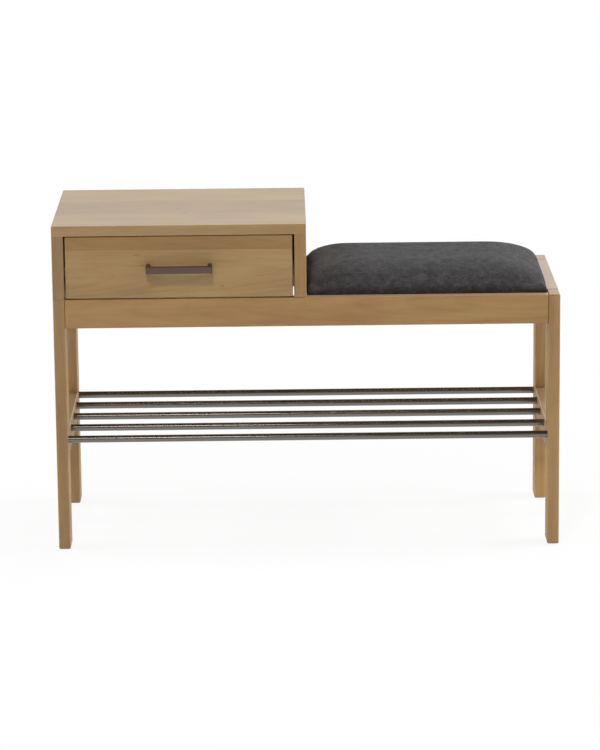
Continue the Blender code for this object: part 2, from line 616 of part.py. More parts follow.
def build_runners(drawer, panels, walls):
    """A channel with a front roller on each cabinet side, a carrier with a rear roller on the drawer."""
    carrier_length = DRAWER_REAR - CARRIER_SHORTFALL - RUNNER_FRONT
    roller_near = FIT + RUNNER_STEEL + SCREW_HEAD + 2 * FIT + RIVET_HEAD + FIT
    for side, face, sign in (("left", OPEN_LEFT, 1), ("right", OPEN_RIGHT, -1)):
        channel = runner_member(f"{side}_channel", channel_outline(sign), face, RUNNER_FRONT,
                                CHANNEL_LENGTH)
        mouth = sorted((face + sign * (2 * FIT + RUNNER_STEEL), face + sign * RUNNER_SPACE))
        cut_box(channel, "mouth",
                (mouth[0], RUNNER_FRONT - CUT_OVERRUN, CHANNEL_BOTTOM + CHANNEL_HEIGHT / 2),
                (mouth[1], RUNNER_FRONT + CHANNEL_MOUTH, CHANNEL_BOTTOM + CARRIER_TOP))
        axis_y = RUNNER_FRONT + ROLLER_END
        axis_z = CHANNEL_BOTTOM + FRONT_ROLLER_AXIS
        near = face + sign * roller_near
        far = near + sign * ROLLER_WIDTH
        web = face + sign * (FIT + RUNNER_STEEL / 2)
        build_roller(f"{side}_front_roller", FRONT_ROLLER_RADIUS, near, far, axis_y, axis_z, None)
        rivet(channel, "roller_rivet", web, far + sign * FIT, sign, axis_y, axis_z)

        carrier = runner_member(f"{side}_carrier", carrier_outline(sign), face, RUNNER_FRONT,
                                carrier_length, drawer)
        kerf = sorted((face + sign * (RUNNER_SPACE - FIT),
                       face + sign * (RUNNER_SPACE + CARRIER_KERF + FIT)))
        kerf_low = CHANNEL_BOTTOM + CARRIER_FOOT - FIT
        cut_box(walls[side], "carrier_kerf", (kerf[0], RUNNER_FRONT - FIT, kerf_low),
                (kerf[1], DRAWER_REAR + CUT_OVERRUN, kerf_low + RUNNER_STEEL + 2 * FIT))
        axis_y = RUNNER_FRONT + carrier_length - ROLLER_END
        axis_z = CHANNEL_BOTTOM + REAR_ROLLER_AXIS
        web = face + sign * (RUNNER_SPACE - FIT - RUNNER_STEEL / 2)
        build_roller(f"{side}_rear_roller", REAR_ROLLER_RADIUS, near, far, axis_y, axis_z, drawer)
        rivet(carrier, "roller_rivet", web, near - sign * FIT, -sign, axis_y, axis_z)

        inward = (sign, 0.0, 0.0)
        outward = (-sign, 0.0, 0.0)
        sizes = (SCREW_RADIUS, SCREW_HEAD_RADIUS, SCREW_HEAD)
        spots = (("front", RUNNER_FRONT + RUNNER_SCREW_INSET),
                 ("rear", RUNNER_FRONT + carrier_length - RUNNER_SCREW_INSET))
        for spot, y in spots:
            seat = (face + sign * (FIT + RUNNER_STEEL), y, CHANNEL_BOTTOM + CHANNEL_HEIGHT / 2)
            screw_piece(f"{side}_channel_{spot}_screw", seat, inward, sizes, RUNNER_SCREW_LENGTH)
            screw_hole([channel, panels[side]], f"{side}_channel_{spot}_hole", seat, inward,
                       SCREW_RADIUS, RUNNER_SCREW_LENGTH)
            seat = (face + sign * (RUNNER_SPACE - FIT - RUNNER_STEEL), y,
                    CHANNEL_BOTTOM + (CARRIER_FOOT + CARRIER_UNDER) / 2)
            screw_piece(f"{side}_carrier_{spot}_screw", seat, outward, sizes, RUNNER_SCREW_LENGTH,
                        drawer)
            screw_hole([carrier, walls[side]], f"{side}_carrier_{spot}_hole", seat, outward,
                       SCREW_RADIUS, RUNNER_SCREW_LENGTH)


def build_roller(name, radius, near, far, y, z, parent):
    """A nylon roller with its origin on its axis."""
    roller = ring(name, RIVET_RADIUS + FIT, radius, ROLLER_WIDTH, NYLON, parent)
    move_to(roller, ((near + far) / 2, y, z), (1.0, 0.0, 0.0))


def rivet(member, label, web, end, sign, y, z):
    """A rivet that is one with its runner: a pin through the roller and a head past it."""
    head = end + sign * RIVET_HEAD
    join_round(member, f"{label}_pin", (web, y, z), (head - sign * RIVET_HEAD / 2, y, z), RIVET_RADIUS)
    join_round(member, f"{label}_head", (end, y, z), (head, y, z), RIVET_HEAD_RADIUS)


def build_seat():
    """Two cleats on the long rails, the seat board on them, its screws, and the padded cover."""
    cleat_low = CLEAT_HIGH - CLEAT
    seat_board = board("seat_board", (SEAT_LEFT, SEAT_FRONT, BOARD_LOW),
                       (SEAT_RIGHT, SEAT_REAR, BOARD_HIGH), PLYWOOD)
    inside = {"front": FRONT + RAIL_THICK + FIT, "rear": BACK - RAIL_THICK - FIT - CLEAT}
    for end, low_y in inside.items():
        cleat = board(f"{end}_seat_cleat", (SEAT_LEFT, low_y, cleat_low),
                      (SEAT_RIGHT, low_y + CLEAT, CLEAT_HIGH))
        for side, x in (("left", SEAT_LEFT + SEAT_SCREW_INSET), ("right", SEAT_RIGHT - SEAT_SCREW_INSET)):
            seat = (x, low_y + CLEAT / 2, cleat_low)
            down = (0.0, 0.0, -1.0)
            length = CLEAT + SEAT_SCREW_GRIP
            screw_piece(f"seat_{end}_{side}_screw", seat, down,
                        (SCREW_RADIUS, SCREW_HEAD_RADIUS, BOLT_HEAD), length)
            screw_hole([cleat, seat_board], f"seat_{end}_{side}_hole", seat, down, SCREW_RADIUS, length)
    build_pad()


def pad_shoulder(inset_x, inset_y):
    """How far the pad's top lies below its crown, from its distances to the nearest two sides."""
    near_x = max(0.0, 1.0 - inset_x / PAD_SHOULDER_RUN)
    near_y = max(0.0, 1.0 - inset_y / PAD_SHOULDER_RUN)
    power = PAD_CORNER_POWER
    near = min(1.0, (near_x ** power + near_y ** power) ** (1.0 / power))
    return PAD_SHOULDER_FALL * (1.0 - math.sqrt(1.0 - near * near))


def build_pad():
    """The upholstered pad: a cage of rows across its shoulders, crowned, tucked in and subdivided."""
    length = SEAT_RIGHT - SEAT_LEFT
    depth = SEAT_REAR - SEAT_FRONT
    high = RAIL_TOP + PAD_CROWN
    middle = Vector(((SEAT_LEFT + SEAT_RIGHT) / 2, (SEAT_FRONT + SEAT_REAR) / 2, PAD_LOW))
    rows = [PAD_CORNER / 2, PAD_SHOULDER_RUN / 2, PAD_SHOULDER_RUN]
    bm = bmesh.new()
    bmesh.ops.create_cube(bm, size=1.0)
    bmesh.ops.scale(bm, vec=(length, depth, 1.0), verts=bm.verts)
    bmesh.ops.translate(bm, vec=(0.0, 0.0, 0.5), verts=bm.verts)
    cuts = [(Vector((0, 0, 1)), height) for height in PAD_SIDE_ROWS]
    for axis, size in ((Vector((1, 0, 0)), length), (Vector((0, 1, 0)), depth)):
        for row in rows:
            cuts.append((axis, size / 2 - row))
            cuts.append((axis, row - size / 2))
        cuts.append((axis, 0.0))
    for axis, place_on_axis in cuts:
        every = bm.verts[:] + bm.edges[:] + bm.faces[:]
        bmesh.ops.bisect_plane(bm, geom=every, plane_co=axis * place_on_axis, plane_no=axis)
    for vert in bm.verts:
        x, y, level = vert.co
        inset_x = length / 2 - abs(x)
        inset_y = depth / 2 - abs(y)
        corner_x = max(0.0, PAD_CORNER - inset_x)
        corner_y = max(0.0, PAD_CORNER - inset_y)
        pull_in = max(0.0, math.hypot(corner_x, corner_y) - PAD_CORNER)
        drawn = PAD_TUCK * (1.0 - level) ** 2 + pull_in
        vert.co.x = x - math.copysign(drawn, x) if corner_x > 0.0 else x
        vert.co.y = y - math.copysign(drawn, y) if corner_y > 0.0 else y
        vert.co.z = level * (high - PAD_LOW - pad_shoulder(inset_x, inset_y))
    mesh = bpy.data.meshes.new("seat_pad")
    bm.to_mesh(mesh)
    bm.free()
    mesh.shade_smooth()
    pad = place(bpy.data.objects.new("seat_pad", mesh), FABRIC)
    pad.location = middle
    soften = pad.modifiers.new("soften", "SUBSURF")
    soften.levels = 1
    soften.render_levels = 1


def build_bench():
    """Build every piece of the bench."""
    drawer = bpy.data.objects.new("drawer", None)
    drawer.location = ((OPEN_LEFT + OPEN_RIGHT) / 2, FRONT, RAIL_TOP)
    PARTS.objects.link(drawer)
    legs = build_legs()
    end_rails, middle_rail = build_seat_rails(legs)
    build_rack(legs)
    panels = build_cabinet(end_rails["left"], middle_rail)
    walls = build_drawer(drawer)
    build_runners(drawer, panels, walls)
    build_seat()


build_bench()
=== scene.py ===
import math
import re

import bpy
import numpy as np
from mathutils import Matrix, Vector


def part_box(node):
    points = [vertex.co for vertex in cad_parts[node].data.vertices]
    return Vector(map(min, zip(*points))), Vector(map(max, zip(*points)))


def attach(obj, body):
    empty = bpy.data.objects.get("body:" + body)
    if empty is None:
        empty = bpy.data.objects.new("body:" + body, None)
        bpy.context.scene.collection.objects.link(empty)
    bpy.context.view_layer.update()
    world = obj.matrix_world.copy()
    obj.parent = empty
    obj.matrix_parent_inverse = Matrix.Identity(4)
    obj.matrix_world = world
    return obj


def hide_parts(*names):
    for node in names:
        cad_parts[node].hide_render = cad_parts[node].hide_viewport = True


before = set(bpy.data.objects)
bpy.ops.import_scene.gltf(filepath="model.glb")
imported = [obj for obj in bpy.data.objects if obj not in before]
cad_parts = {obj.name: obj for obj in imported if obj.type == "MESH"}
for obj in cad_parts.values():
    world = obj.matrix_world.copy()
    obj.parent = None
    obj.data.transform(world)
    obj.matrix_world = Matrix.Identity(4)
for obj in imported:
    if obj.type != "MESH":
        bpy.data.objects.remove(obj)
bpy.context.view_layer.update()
print("frame loaded:", len(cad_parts), "solids")

fitGap = 0.0003  # joint line between two pieces
easeMiddle = 0.3  # an eased rim's middle lies this share of the ease inside its corner
tiny = 1e-9  # keeps a division safe
axisIndex = {"x": 0, "y": 1, "z": 2}
cornerNames = [(end, side) for end in ("front", "rear") for side in ("left", "right")]


# every piece has the name of its CAD node, in camel case
def nodeOf(pieceName):
    return re.sub("[A-Z]|[0-9]+", lambda part: "_" + part.group().lower(), pieceName)


def nodeBox(pieceName):
    name = nodeOf(pieceName)
    low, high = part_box(name)
    return np.array(low), np.array(high)


# box of a piece's node with some of its sides moved, such as to cut off what the joinery hides
def trimmedBox(pieceName, trim):
    low, high = nodeBox(pieceName)
    for axis, (start, stop) in trim.items():
        k = axisIndex[axis]
        low[k] = low[k] if start is None else start
        high[k] = high[k] if stop is None else stop
    return low, high


# places that several pieces share
legHigh = nodeBox("frontLeftLeg")[1]
farLegLow = nodeBox("rearRightLeg")[0]
topLow, topHigh = nodeBox("cabinetTop")
backLow, backHigh = nodeBox("cabinetBack")
drawerFrontHigh = nodeBox("drawerFront")[1]
betweenLegs = (legHigh[0] + fitGap, farLegLow[0] - fitGap)
betweenFeet = (legHigh[1] + fitGap, farLegLow[1] - fitGap)
betweenRails = (nodeBox("frontRail")[1][1] + fitGap, nodeBox("rearRail")[0][1] - fitGap)
insideDrawer = (nodeBox("drawerLeftSide")[1][0] + fitGap, nodeBox("drawerRightSide")[0][0] - fitGap)
behindFront = (drawerFrontHigh[1] + fitGap, None)


# plugs of a node take sockets or plain values
def feed(node, feeds):
    for name, value in feeds.items():
        plug = node.inputs[name]
        if isinstance(value, bpy.types.NodeSocket):
            node.id_data.links.new(value, plug)
        else:
            plug.default_value = value


# a node goes into the given tree, or into the tree of the first socket that feeds it
def addNode(kind, feeds=None, tree=None, **settings):
    feeds = feeds or {}
    if tree is None:
        tree = next(value for value in feeds.values() if isinstance(value, bpy.types.NodeSocket)).id_data
    node = tree.nodes.new("ShaderNode" + kind)
    for name, value in settings.items():
        setattr(node, name, value)
    feed(node, feeds)
    return node


def calc(operation, first, second=0.0):
    return addNode("Math", {0: first, 1: second}, operation=operation).outputs[0]


def vectorCalc(operation, first, second):
    return addNode("VectorMath", {0: first, 1: second}, operation=operation).outputs[0]


def vectorLength(vector):
    return addNode("VectorMath", {0: vector}, operation="LENGTH").outputs["Value"]


def centred(part, middle=0.5):
    return calc("SUBTRACT", part, middle)


# start with a share of a part added to it
def addShare(start, part, share):
    return calc("ADD", start, calc("MULTIPLY", part, share))


# start with a share of each field added to it
def blend(start, fields, shares):
    for key, share in shares.items():
        if key in fields:
            start = addShare(start, fields[key], share)
    return start


# spread is from low, from high, to low, to high
def mapRange(value, spread, **settings):
    feeds = dict(zip(("From Min", "From Max", "To Min", "To Max"), spread))
    return addNode("MapRange", {"Value": value, **feeds}, **settings).outputs[0]


def attributeOf(tree, name, output="Fac"):
    return addNode("Attribute", tree=tree, attribute_name=name).outputs[output]


def placeOf(tree, output="Object"):
    return addNode("TexCoord", tree=tree).outputs[output]


def split(vector):
    return addNode("SeparateXYZ", {0: vector}).outputs


def bumpOf(height, strength, distance):
    return addNode("Bump", {"Height": height, "Strength": strength, "Distance": distance}).outputs[0]


# stretch is steps per metre along each axis
def stretchedNoise(coords, stretch, detail, roughness=0.5, output="Fac"):
    spread = vectorCalc("MULTIPLY", coords, stretch)
    return addNode("TexNoise", {"Vector": spread, "Scale": 1.0, "Detail": detail,
                                "Roughness": roughness}).outputs[output]


def noiseFields(coords, noises):
    return {key: stretchedNoise(coords, *noise) for key, noise in noises.items()}


def ramp(value, places, colours):
    node = addNode("ValToRGB", {"Fac": value})
    while len(node.color_ramp.elements) < len(places):
        node.color_ramp.elements.new(0.5)
    for element, place, colour in zip(node.color_ramp.elements, places, colours):
        element.position = place
        element.color = (*colour, 1.0)
    return node.outputs["Color"]


# one colour, darker at low values and paler at high ones
def mottled(value, colour, darker, paler):
    low = tuple(part * darker for part in colour)
    high = tuple(min(1.0, part * paler) for part in colour)
    return ramp(value, (0.3, 0.7), (low, high))


def newMaterial(name):
    material = bpy.data.materials.new(name)
    material.use_nodes = True
    tree = material.node_tree
    return material, tree, tree.nodes["Principled BSDF"]


# Wood: growth rings round a pith line below each board, long streaks, fine fibres and pores.
# Every board carries its own grain coordinates, so its end grain and faces belong together.
woodLook = {
    "colours": ((0.215, 0.120, 0.036), (0.300, 0.173, 0.057), (0.360, 0.218, 0.080)),  # dark to light
    "colourPlaces": (0.18, 0.48, 0.80),
    "ringWidth": 0.0042,
    "ringPlaces": (0.0, 0.55, 0.88, 0.97, 1.0),
    "ringShades": (0.60, 0.58, 0.36, 0.40, 0.60),
    "sway": ((1.7, 13.0, 13.0), 3.0),
    "swayReach": (0.0, 0.012, 0.012),
    "noises": {  # stretch along, across and through the fibres, detail, roughness
        "streak": ((2.6, 85.0, 85.0), 5.0, 0.6),
        "fibre": ((22.0, 1100.0, 1100.0), 2.0),
        "patch": ((7.0, 24.0, 24.0), 2.0),
        "pores": ((170.0, 2900.0, 2900.0), 1.0),
    },
    "poreStart": 0.66,
    "poreRise": 9.0,
    "figureStart": -0.34,  # the figure runs from dark to light
    "figureShares": {"ring": 0.34, "streak": 0.62, "fibre": 0.26, "pores": -0.16, "patch": 0.48,
                     "knot": -0.34},
    "knotBulge": 0.0035,
    "topKnots": (((-0.216, -0.004, 0.56), (0.011, 0.009, 0.02)),
                 ((-0.205, -0.045, 0.56), (0.006, 0.013, 0.02)),
                 ((-0.246, 0.050, 0.56), (0.016, 0.008, 0.02))),
    "drawerKnots": (((-0.282, -0.161, 0.5105), (0.010, 0.02, 0.0024)),
                    ((-0.274, -0.161, 0.4925), (0.013, 0.02, 0.0018)),
                    ((-0.141, -0.161, 0.4565), (0.006, 0.02, 0.0020))),
    "patchHue": 0.022,
    "tintHue": 0.07,
    "tintHueLimit": 0.06,
    "tintFade": -0.9,
    "fibreRough": -0.06,
    "poreRough": 0.12,
    "edgeOnRough": (0.80, 0.93, 0.0, 0.38),  # open pores kill the gloss edge-on
    "fibreRelief": 0.35,
    "bump": (0.08, 0.00025),  # strength and distance
    "ior": 1.54,
    "lacquerRoughness": 0.22,
    "topRoughness": 0.235,
    "satinRoughness": 0.55,
    "rawRoughness": 0.60,
    "rawLift": 1.12,
    "endShade": -0.22,
}


# Knots are small ellipsoids round a place, where the rings bulge and the wood darkens.
def knotField(tree, knots):
    coords = placeOf(tree)
    total = None
    for place, reach in knots:
        offset = vectorCalc("DIVIDE", vectorCalc("SUBTRACT", coords, place), reach)
        share = mapRange(vectorLength(offset), (0.0, 1.0, 1.0, 0.0), interpolation_type="SMOOTHSTEP")
        total = share if total is None else calc("ADD", total, share)
    return total


# Rings: distance from the pith line, bent by a slow sway, divided by the ring's width
def ringField(grain, knot):
    sway = stretchedNoise(grain, *woodLook["sway"], output="Color")
    sway = vectorCalc("SUBTRACT", sway, (0.5, 0.5, 0.5))
    sway = vectorCalc("MULTIPLY", sway, woodLook["swayReach"])
    parts = split(vectorCalc("ADD", grain, sway))
    radius = vectorLength(addNode("CombineXYZ", {1: parts[1], 2: parts[2]}).outputs[0])
    if knot is not None:
        radius = addShare(radius, knot, woodLook["knotBulge"])
    phase = calc("FRACT", calc("DIVIDE", radius, woodLook["ringWidth"]))
    return ramp(phase, woodLook["ringPlaces"], [(shade,) * 3 for shade in woodLook["ringShades"]])


def woodFinish(name, roughness, lift=1.0, knots=()):
    look = woodLook
    material, tree, shader = newMaterial(name)
    grain = attributeOf(tree, "grain", "Vector")
    tone, tint = attributeOf(tree, "tone"), attributeOf(tree, "tint")
    fields = noiseFields(grain, look["noises"])
    pores = calc("MULTIPLY", centred(fields["pores"], look["poreStart"]), look["poreRise"])
    fields["pores"] = addNode("Clamp", {"Value": pores}).outputs[0]
    if knots:
        fields["knot"] = knotField(tree, knots)
    fields["ring"] = ringField(grain, fields.get("knot"))
    figure = blend(look["figureStart"], fields, look["figureShares"])
    colour = ramp(figure, look["colourPlaces"], look["colours"])
    hue = addShare(0.5, centred(fields["patch"]), look["patchHue"])
    hue = addShare(hue, calc("MINIMUM", tint, look["tintHueLimit"]), look["tintHue"])
    toned = addNode("HueSaturation", {"Hue": hue, "Saturation": addShare(1.0, tint, look["tintFade"]),
                                      "Value": calc("ADD", tone, lift), "Color": colour}).outputs[0]
    rough = addShare(roughness, centred(fields["fibre"]), look["fibreRough"])
    rough = addShare(rough, fields["pores"], look["poreRough"])
    facing = addNode("LayerWeight", {"Blend": 0.5}, tree).outputs["Facing"]
    rough = calc("ADD", rough, mapRange(facing, look["edgeOnRough"]))
    height = calc("SUBTRACT", calc("MULTIPLY", fields["fibre"], look["fibreRelief"]), fields["pores"])
    feed(shader, {"Base Color": toned, "Roughness": rough, "IOR": look["ior"],
                  "Normal": bumpOf(height, *look["bump"])})
    return material


woodLacquer = woodFinish("woodLacquer", woodLook["lacquerRoughness"])
woodTop = woodFinish("woodTop", woodLook["topRoughness"], knots=woodLook["topKnots"])
woodDrawer = woodFinish("woodDrawer", woodLook["satinRoughness"], knots=woodLook["drawerKnots"])
woodRaw = woodFinish("woodRaw", woodLook["rawRoughness"], woodLook["rawLift"])

# Plywood: a pale rotary-cut face and plies that show as bands on the sawn edges
plyLook = {
    "face": (0.50, 0.355, 0.205),
    "faceDark": (0.40, 0.272, 0.148),
    "coreDark": (0.30, 0.19, 0.10),
    "facePlaces": (0.1, 0.7),
    "bandPlaces": (0.46, 0.5, 0.95, 1.0),
    "wide": ((1.6, 16.0, 0.0), 4.0),
    "fine": ((16.0, 700.0, 700.0), 2.0),
    "waves": 7.0,
    "waveShare": 0.35,
    "fineShare": 0.55,
    "pliesThin": 750.0,  # plies per metre of thickness
    "pliesThick": 580.0,
    "below": 0.1,  # plies are counted from here, under any board
    "edgeTone": -0.5,  # marks the faces that show plies
    "roughness": 0.62,
    "bump": (0.15, 0.0002),  # strength and distance
}


def plyFinish(name, plies):
    look = plyLook
    material, tree, shader = newMaterial(name)
    grain = attributeOf(tree, "grain", "Vector")
    wide = stretchedNoise(grain, *look["wide"])
    fine = stretchedNoise(grain, *look["fine"])
    wave = calc("FRACT", calc("MULTIPLY", wide, look["waves"]))
    figure = addShare(calc("MULTIPLY", wave, look["waveShare"]), fine, look["fineShare"])
    face = ramp(figure, look["facePlaces"], (look["faceDark"], look["face"]))
    through = split(grain)[2]
    layer = calc("FRACT", calc("MULTIPLY", calc("ADD", through, look["below"]), plies / 2))
    pale, core = look["face"], look["coreDark"]
    bands = ramp(layer, look["bandPlaces"], (pale, core, core, pale))
    edge = calc("LESS_THAN", attributeOf(tree, "tone"), look["edgeTone"] / 2)
    mixed = addNode("MixRGB", {"Fac": edge, "Color1": face, "Color2": bands}).outputs[0]
    feed(shader, {"Base Color": mixed, "Roughness": look["roughness"], "Normal": bumpOf(fine, *look["bump"])})
    return material


plyThin = plyFinish("plyThin", plyLook["pliesThin"])
plyThick = plyFinish("plyThick", plyLook["pliesThick"])

fineBump = 0.0001  # bump distance of metals and coatings
metalLook = {"cloud": ((14.0, 14.0, 14.0), 2.0), "streakShare": 0.7, "cloudShare": 0.3, "glossShare": 0.25}
coatLook = {"cloud": ((30.0, 30.0, 30.0), 3.0), "darker": 0.90, "paler": 1.06, "glossShare": 0.2}


# Metals: streaks along the piece in colour, gloss and bump
def metalFinish(name, colour, roughness, stretch, spread, bump):
    material, tree, shader = newMaterial(name)
    coords = placeOf(tree)
    streak = stretchedNoise(coords, stretch, 3.0, 0.6)
    cloud = stretchedNoise(coords, *metalLook["cloud"])
    shade = addShare(calc("MULTIPLY", streak, metalLook["streakShare"]), cloud, metalLook["cloudShare"])
    feed(shader, {"Base Color": mottled(shade, colour, 1.0 - spread, 1.0 + spread), "Metallic": 1.0,
                  "Roughness": addShare(roughness, centred(shade), metalLook["glossShare"]),
                  "Normal": bumpOf(streak, bump, fineBump)})
    return material


rodSteel = metalFinish("rodSteel", colour=(0.195, 0.176, 0.158), roughness=0.16, stretch=(5.0, 900.0, 900.0),
                       spread=0.08, bump=0.0)
pullSteel = metalFinish("pullSteel", colour=(0.136, 0.104, 0.086), roughness=0.42,
                        stretch=(12.0, 1600.0, 1600.0), spread=0.14, bump=0.12)
zincPlate = metalFinish("zincPlate", colour=(0.56, 0.56, 0.54), roughness=0.38, stretch=(350.0, 350.0, 350.0),
                        spread=0.16, bump=0.08)


# Coatings and plastics: a faint orange-peel texture with slight mottling
def coatFinish(name, colour, roughness, peelScale, bump):
    material, tree, shader = newMaterial(name)
    coords = placeOf(tree)
    peel = stretchedNoise(coords, (peelScale,) * 3, 2.0)
    cloud = stretchedNoise(coords, *coatLook["cloud"])
    feed(shader, {"Base Color": mottled(cloud, colour, coatLook["darker"], coatLook["paler"]),
                  "Roughness": addShare(roughness, centred(cloud), coatLook["glossShare"]),
                  "Normal": bumpOf(peel, bump, fineBump)})
    return material


runnerCoat = coatFinish("runnerCoat", colour=(0.80, 0.75, 0.66), roughness=0.38, peelScale=1500.0, bump=0.10)
rollerNylon = coatFinish("rollerNylon", colour=(0.72, 0.71, 0.67), roughness=0.46, peelScale=900.0, bump=0.06)
glidePlastic = coatFinish("glidePlastic", colour=(0.060, 0.050, 0.042), roughness=0.55, peelScale=700.0,
                          bump=0.15)
print("finishes made")


# arrays out of a mesh and into it
def readVectors(items, name):
    flat = np.empty(len(items) * 3)
    items.foreach_get(name, flat)
    return flat.reshape(-1, 3)


def readNumbers(items, name):
    numbers = np.empty(len(items), int)
    items.foreach_get(name, numbers)
    return numbers


def addAttribute(mesh, name, kind, domain, values):
    key = "vector" if kind == "FLOAT_VECTOR" else "value"
    mesh.attributes.new(name, kind, domain).data.foreach_set(key, values.ravel())


def addObject(name, data):
    thing = bpy.data.objects.new(name, data)
    bpy.context.scene.collection.objects.link(thing)
    return thing


# shape is an array of points and a list of faces that look outwards
def makePiece(name, shape, material, body, sharpAngle=40.0):
    points, faces = shape
    mesh = bpy.data.meshes.new(name)
    mesh.from_pydata(points.tolist(), [], faces)
    mesh.shade_smooth()
    mesh.set_sharp_from_angle(angle=math.radians(sharpAngle))
    piece = addObject(name, mesh)
    mesh.materials.append(material)
    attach(piece, body)
    nodes = [nodeOf(name)]
    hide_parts(*nodes)
    return piece


# Every lattice point on the skin of a box: six grids of indices, joined where they share a line
def boxLattice(xs, ys, zs):
    counts = (len(xs), len(ys), len(zs))
    steps = (counts[1] * counts[2], counts[2], 1)
    quads = []
    for axis, first, second in ((0, 1, 2), (1, 0, 2), (2, 0, 1)):
        grid = np.arange(counts[first])[:, None] * steps[first] + np.arange(counts[second]) * steps[second]
        for end in (0, counts[axis] - 1):
            keys = grid + end * steps[axis]
            quad = np.stack([keys[:-1, :-1], keys[1:, :-1], keys[1:, 1:], keys[:-1, 1:]], -1).reshape(-1, 4)
            outward = (end > 0) == (axis != 1)
            quads.append(quad if outward else quad[:, ::-1])
    used, quads = np.unique(np.concatenate(quads), return_inverse=True)
    points = np.stack([np.asarray(xs)[used // steps[0]], np.asarray(ys)[used // steps[1] % counts[1]],
                       np.asarray(zs)[used % counts[2]]], -1)
    return points, quads.reshape(-1, 4)


# Lines of a rounded board along one axis: each end has half of a quarter turn as tan-spaced lines,
# one line just inside it that keeps the flat flat, and any lines where staves meet
def boardLines(low, high, radius, extra, steps=4, keep=0.25):
    bend = radius * np.tan(np.linspace(0.0, math.pi / 4, steps))
    start = low + radius - bend[::-1]
    stop = high - radius + bend
    inside = radius * keep
    middle = [start[-1] + inside, *extra, stop[0] - inside]
    return np.concatenate([start, np.array(middle), stop])


# Rounded board: each lattice point goes to the nearest point of the box inset by the radius,
# and from there out by the radius. A square side is made too long by the radius and cut flat.
def roundedBoard(low, high, radius, square=(), staveAxis=None, staveLines=()):
    longLow, longHigh = low.copy(), high.copy()
    for side in square:
        if side[0] == "-":
            longLow[axisIndex[side[1]]] -= radius
        else:
            longHigh[axisIndex[side[1]]] += radius
    lines = [boardLines(longLow[k], longHigh[k], radius, staveLines if k == staveAxis else ())
             for k in range(3)]
    points, quads = boxLattice(*lines)
    nearest = np.clip(points, longLow + radius, longHigh - radius)
    out = points - nearest
    points = nearest + radius * out / np.linalg.norm(out, axis=1, keepdims=True)
    return np.clip(points, low, high), quads.tolist()


# Grain coordinates of a board: x along its fibres, y across and z through, from a pith line that
# lies off the board and slants a little, so that flat faces show arches. One draw for each stave.
pithDraw = {"along": 9.0, "beside": 0.02, "nearest": 0.022, "farthest": 0.075, "slantBeside": 0.03,
            "slantThrough": 0.06}
firstSeeds = {"boards": 40, "sides": 80, "panels": 90}  # pieces count on from these
# End grain is darker; the low end limit also darkens the eased rims round every end, which paints a line of
# shade along the foot of each leg
faceLimits = {"end": 0.55, "top": 0.9, "right": 0.5}  # least part of a face's normal that way


# painted light: a share of tone and tint that makes the upward faces paler and greyer, and a share of tone
# that makes the faces on the right paler
def dressWood(piece, grain, seed, staveLines=(), tones=(0.0,), tints=(0.0,), topShade=(0.0, 0.0),
              rightTone=0.0):
    mesh = piece.data
    points = readVectors(mesh.vertices, "co")
    size = np.ptp(points, axis=0)
    along = axisIndex[grain]
    across, through = sorted((k for k in range(3) if k != along), key=lambda k: -size[k])
    stave = np.searchsorted(np.array(staveLines, float), readVectors(mesh.polygons, "center")[:, across])
    draw = np.random.default_rng(seed)
    staves = len(staveLines) + 1
    beside, slantBeside, slantThrough = (pithDraw[key] for key in ("beside", "slantBeside", "slantThrough"))
    shift = np.stack([draw.uniform(0, pithDraw["along"], staves), draw.uniform(-beside, beside, staves),
                      draw.uniform(pithDraw["nearest"], pithDraw["farthest"], staves)
                      * draw.choice((-1, 1), staves)], -1)
    slant = np.stack([draw.uniform(-slantBeside, slantBeside, staves),
                      draw.uniform(-slantThrough, slantThrough, staves)], -1)
    edges = np.concatenate([[points[:, across].min()], staveLines, [points[:, across].max()]])
    centres = (edges[1:] + edges[:-1]) / 2
    which = np.repeat(stave, readNumbers(mesh.polygons, "loop_total"))
    spots = points[readNumbers(mesh.loops, "vertex_index")]
    far = spots[:, along] - points[:, along].mean()
    coords = np.stack([
        far + shift[which, 0],
        spots[:, across] - centres[which] + shift[which, 1] + far * slant[which, 0],
        spots[:, through] - points[:, through].mean() + shift[which, 2] + far * slant[which, 1]], -1)
    addAttribute(mesh, "grain", "FLOAT_VECTOR", "CORNER", coords)
    normals = readVectors(mesh.polygons, "normal")
    endFaces = np.abs(normals[:, along]) > faceLimits["end"]
    # Painted light: upward faces and faces on the right are made paler, and upward faces greyer, as if lit
    # more
    paintedLightTopFaces, paintedLightRightFaces = normals[:, 2] > faceLimits["top"], normals[:, 0] > faceLimits["right"]
    tone = np.array(tones, float)[stave] + woodLook["endShade"] * endFaces
    tone = tone + topShade[0] * paintedLightTopFaces + rightTone * paintedLightRightFaces
    addAttribute(mesh, "tone", "FLOAT", "FACE", tone)
    addAttribute(mesh, "tint", "FLOAT", "FACE", np.array(tints, float)[stave] + topShade[1] * paintedLightTopFaces)


# One entry for each solid board: its fibre direction, tone, square sides and trim
def boardEntry(grain, tone=0.0, square=(), trim=None, body="frame", finish=woodLacquer, radius=0.0016,
               tint=0.0, **dress):
    return {"grain": grain, "square": square, "trim": trim or {}, "body": body, "finish": finish,
            "radius": radius, "dress": {"tones": (tone,), "tints": (tint,), **dress}}


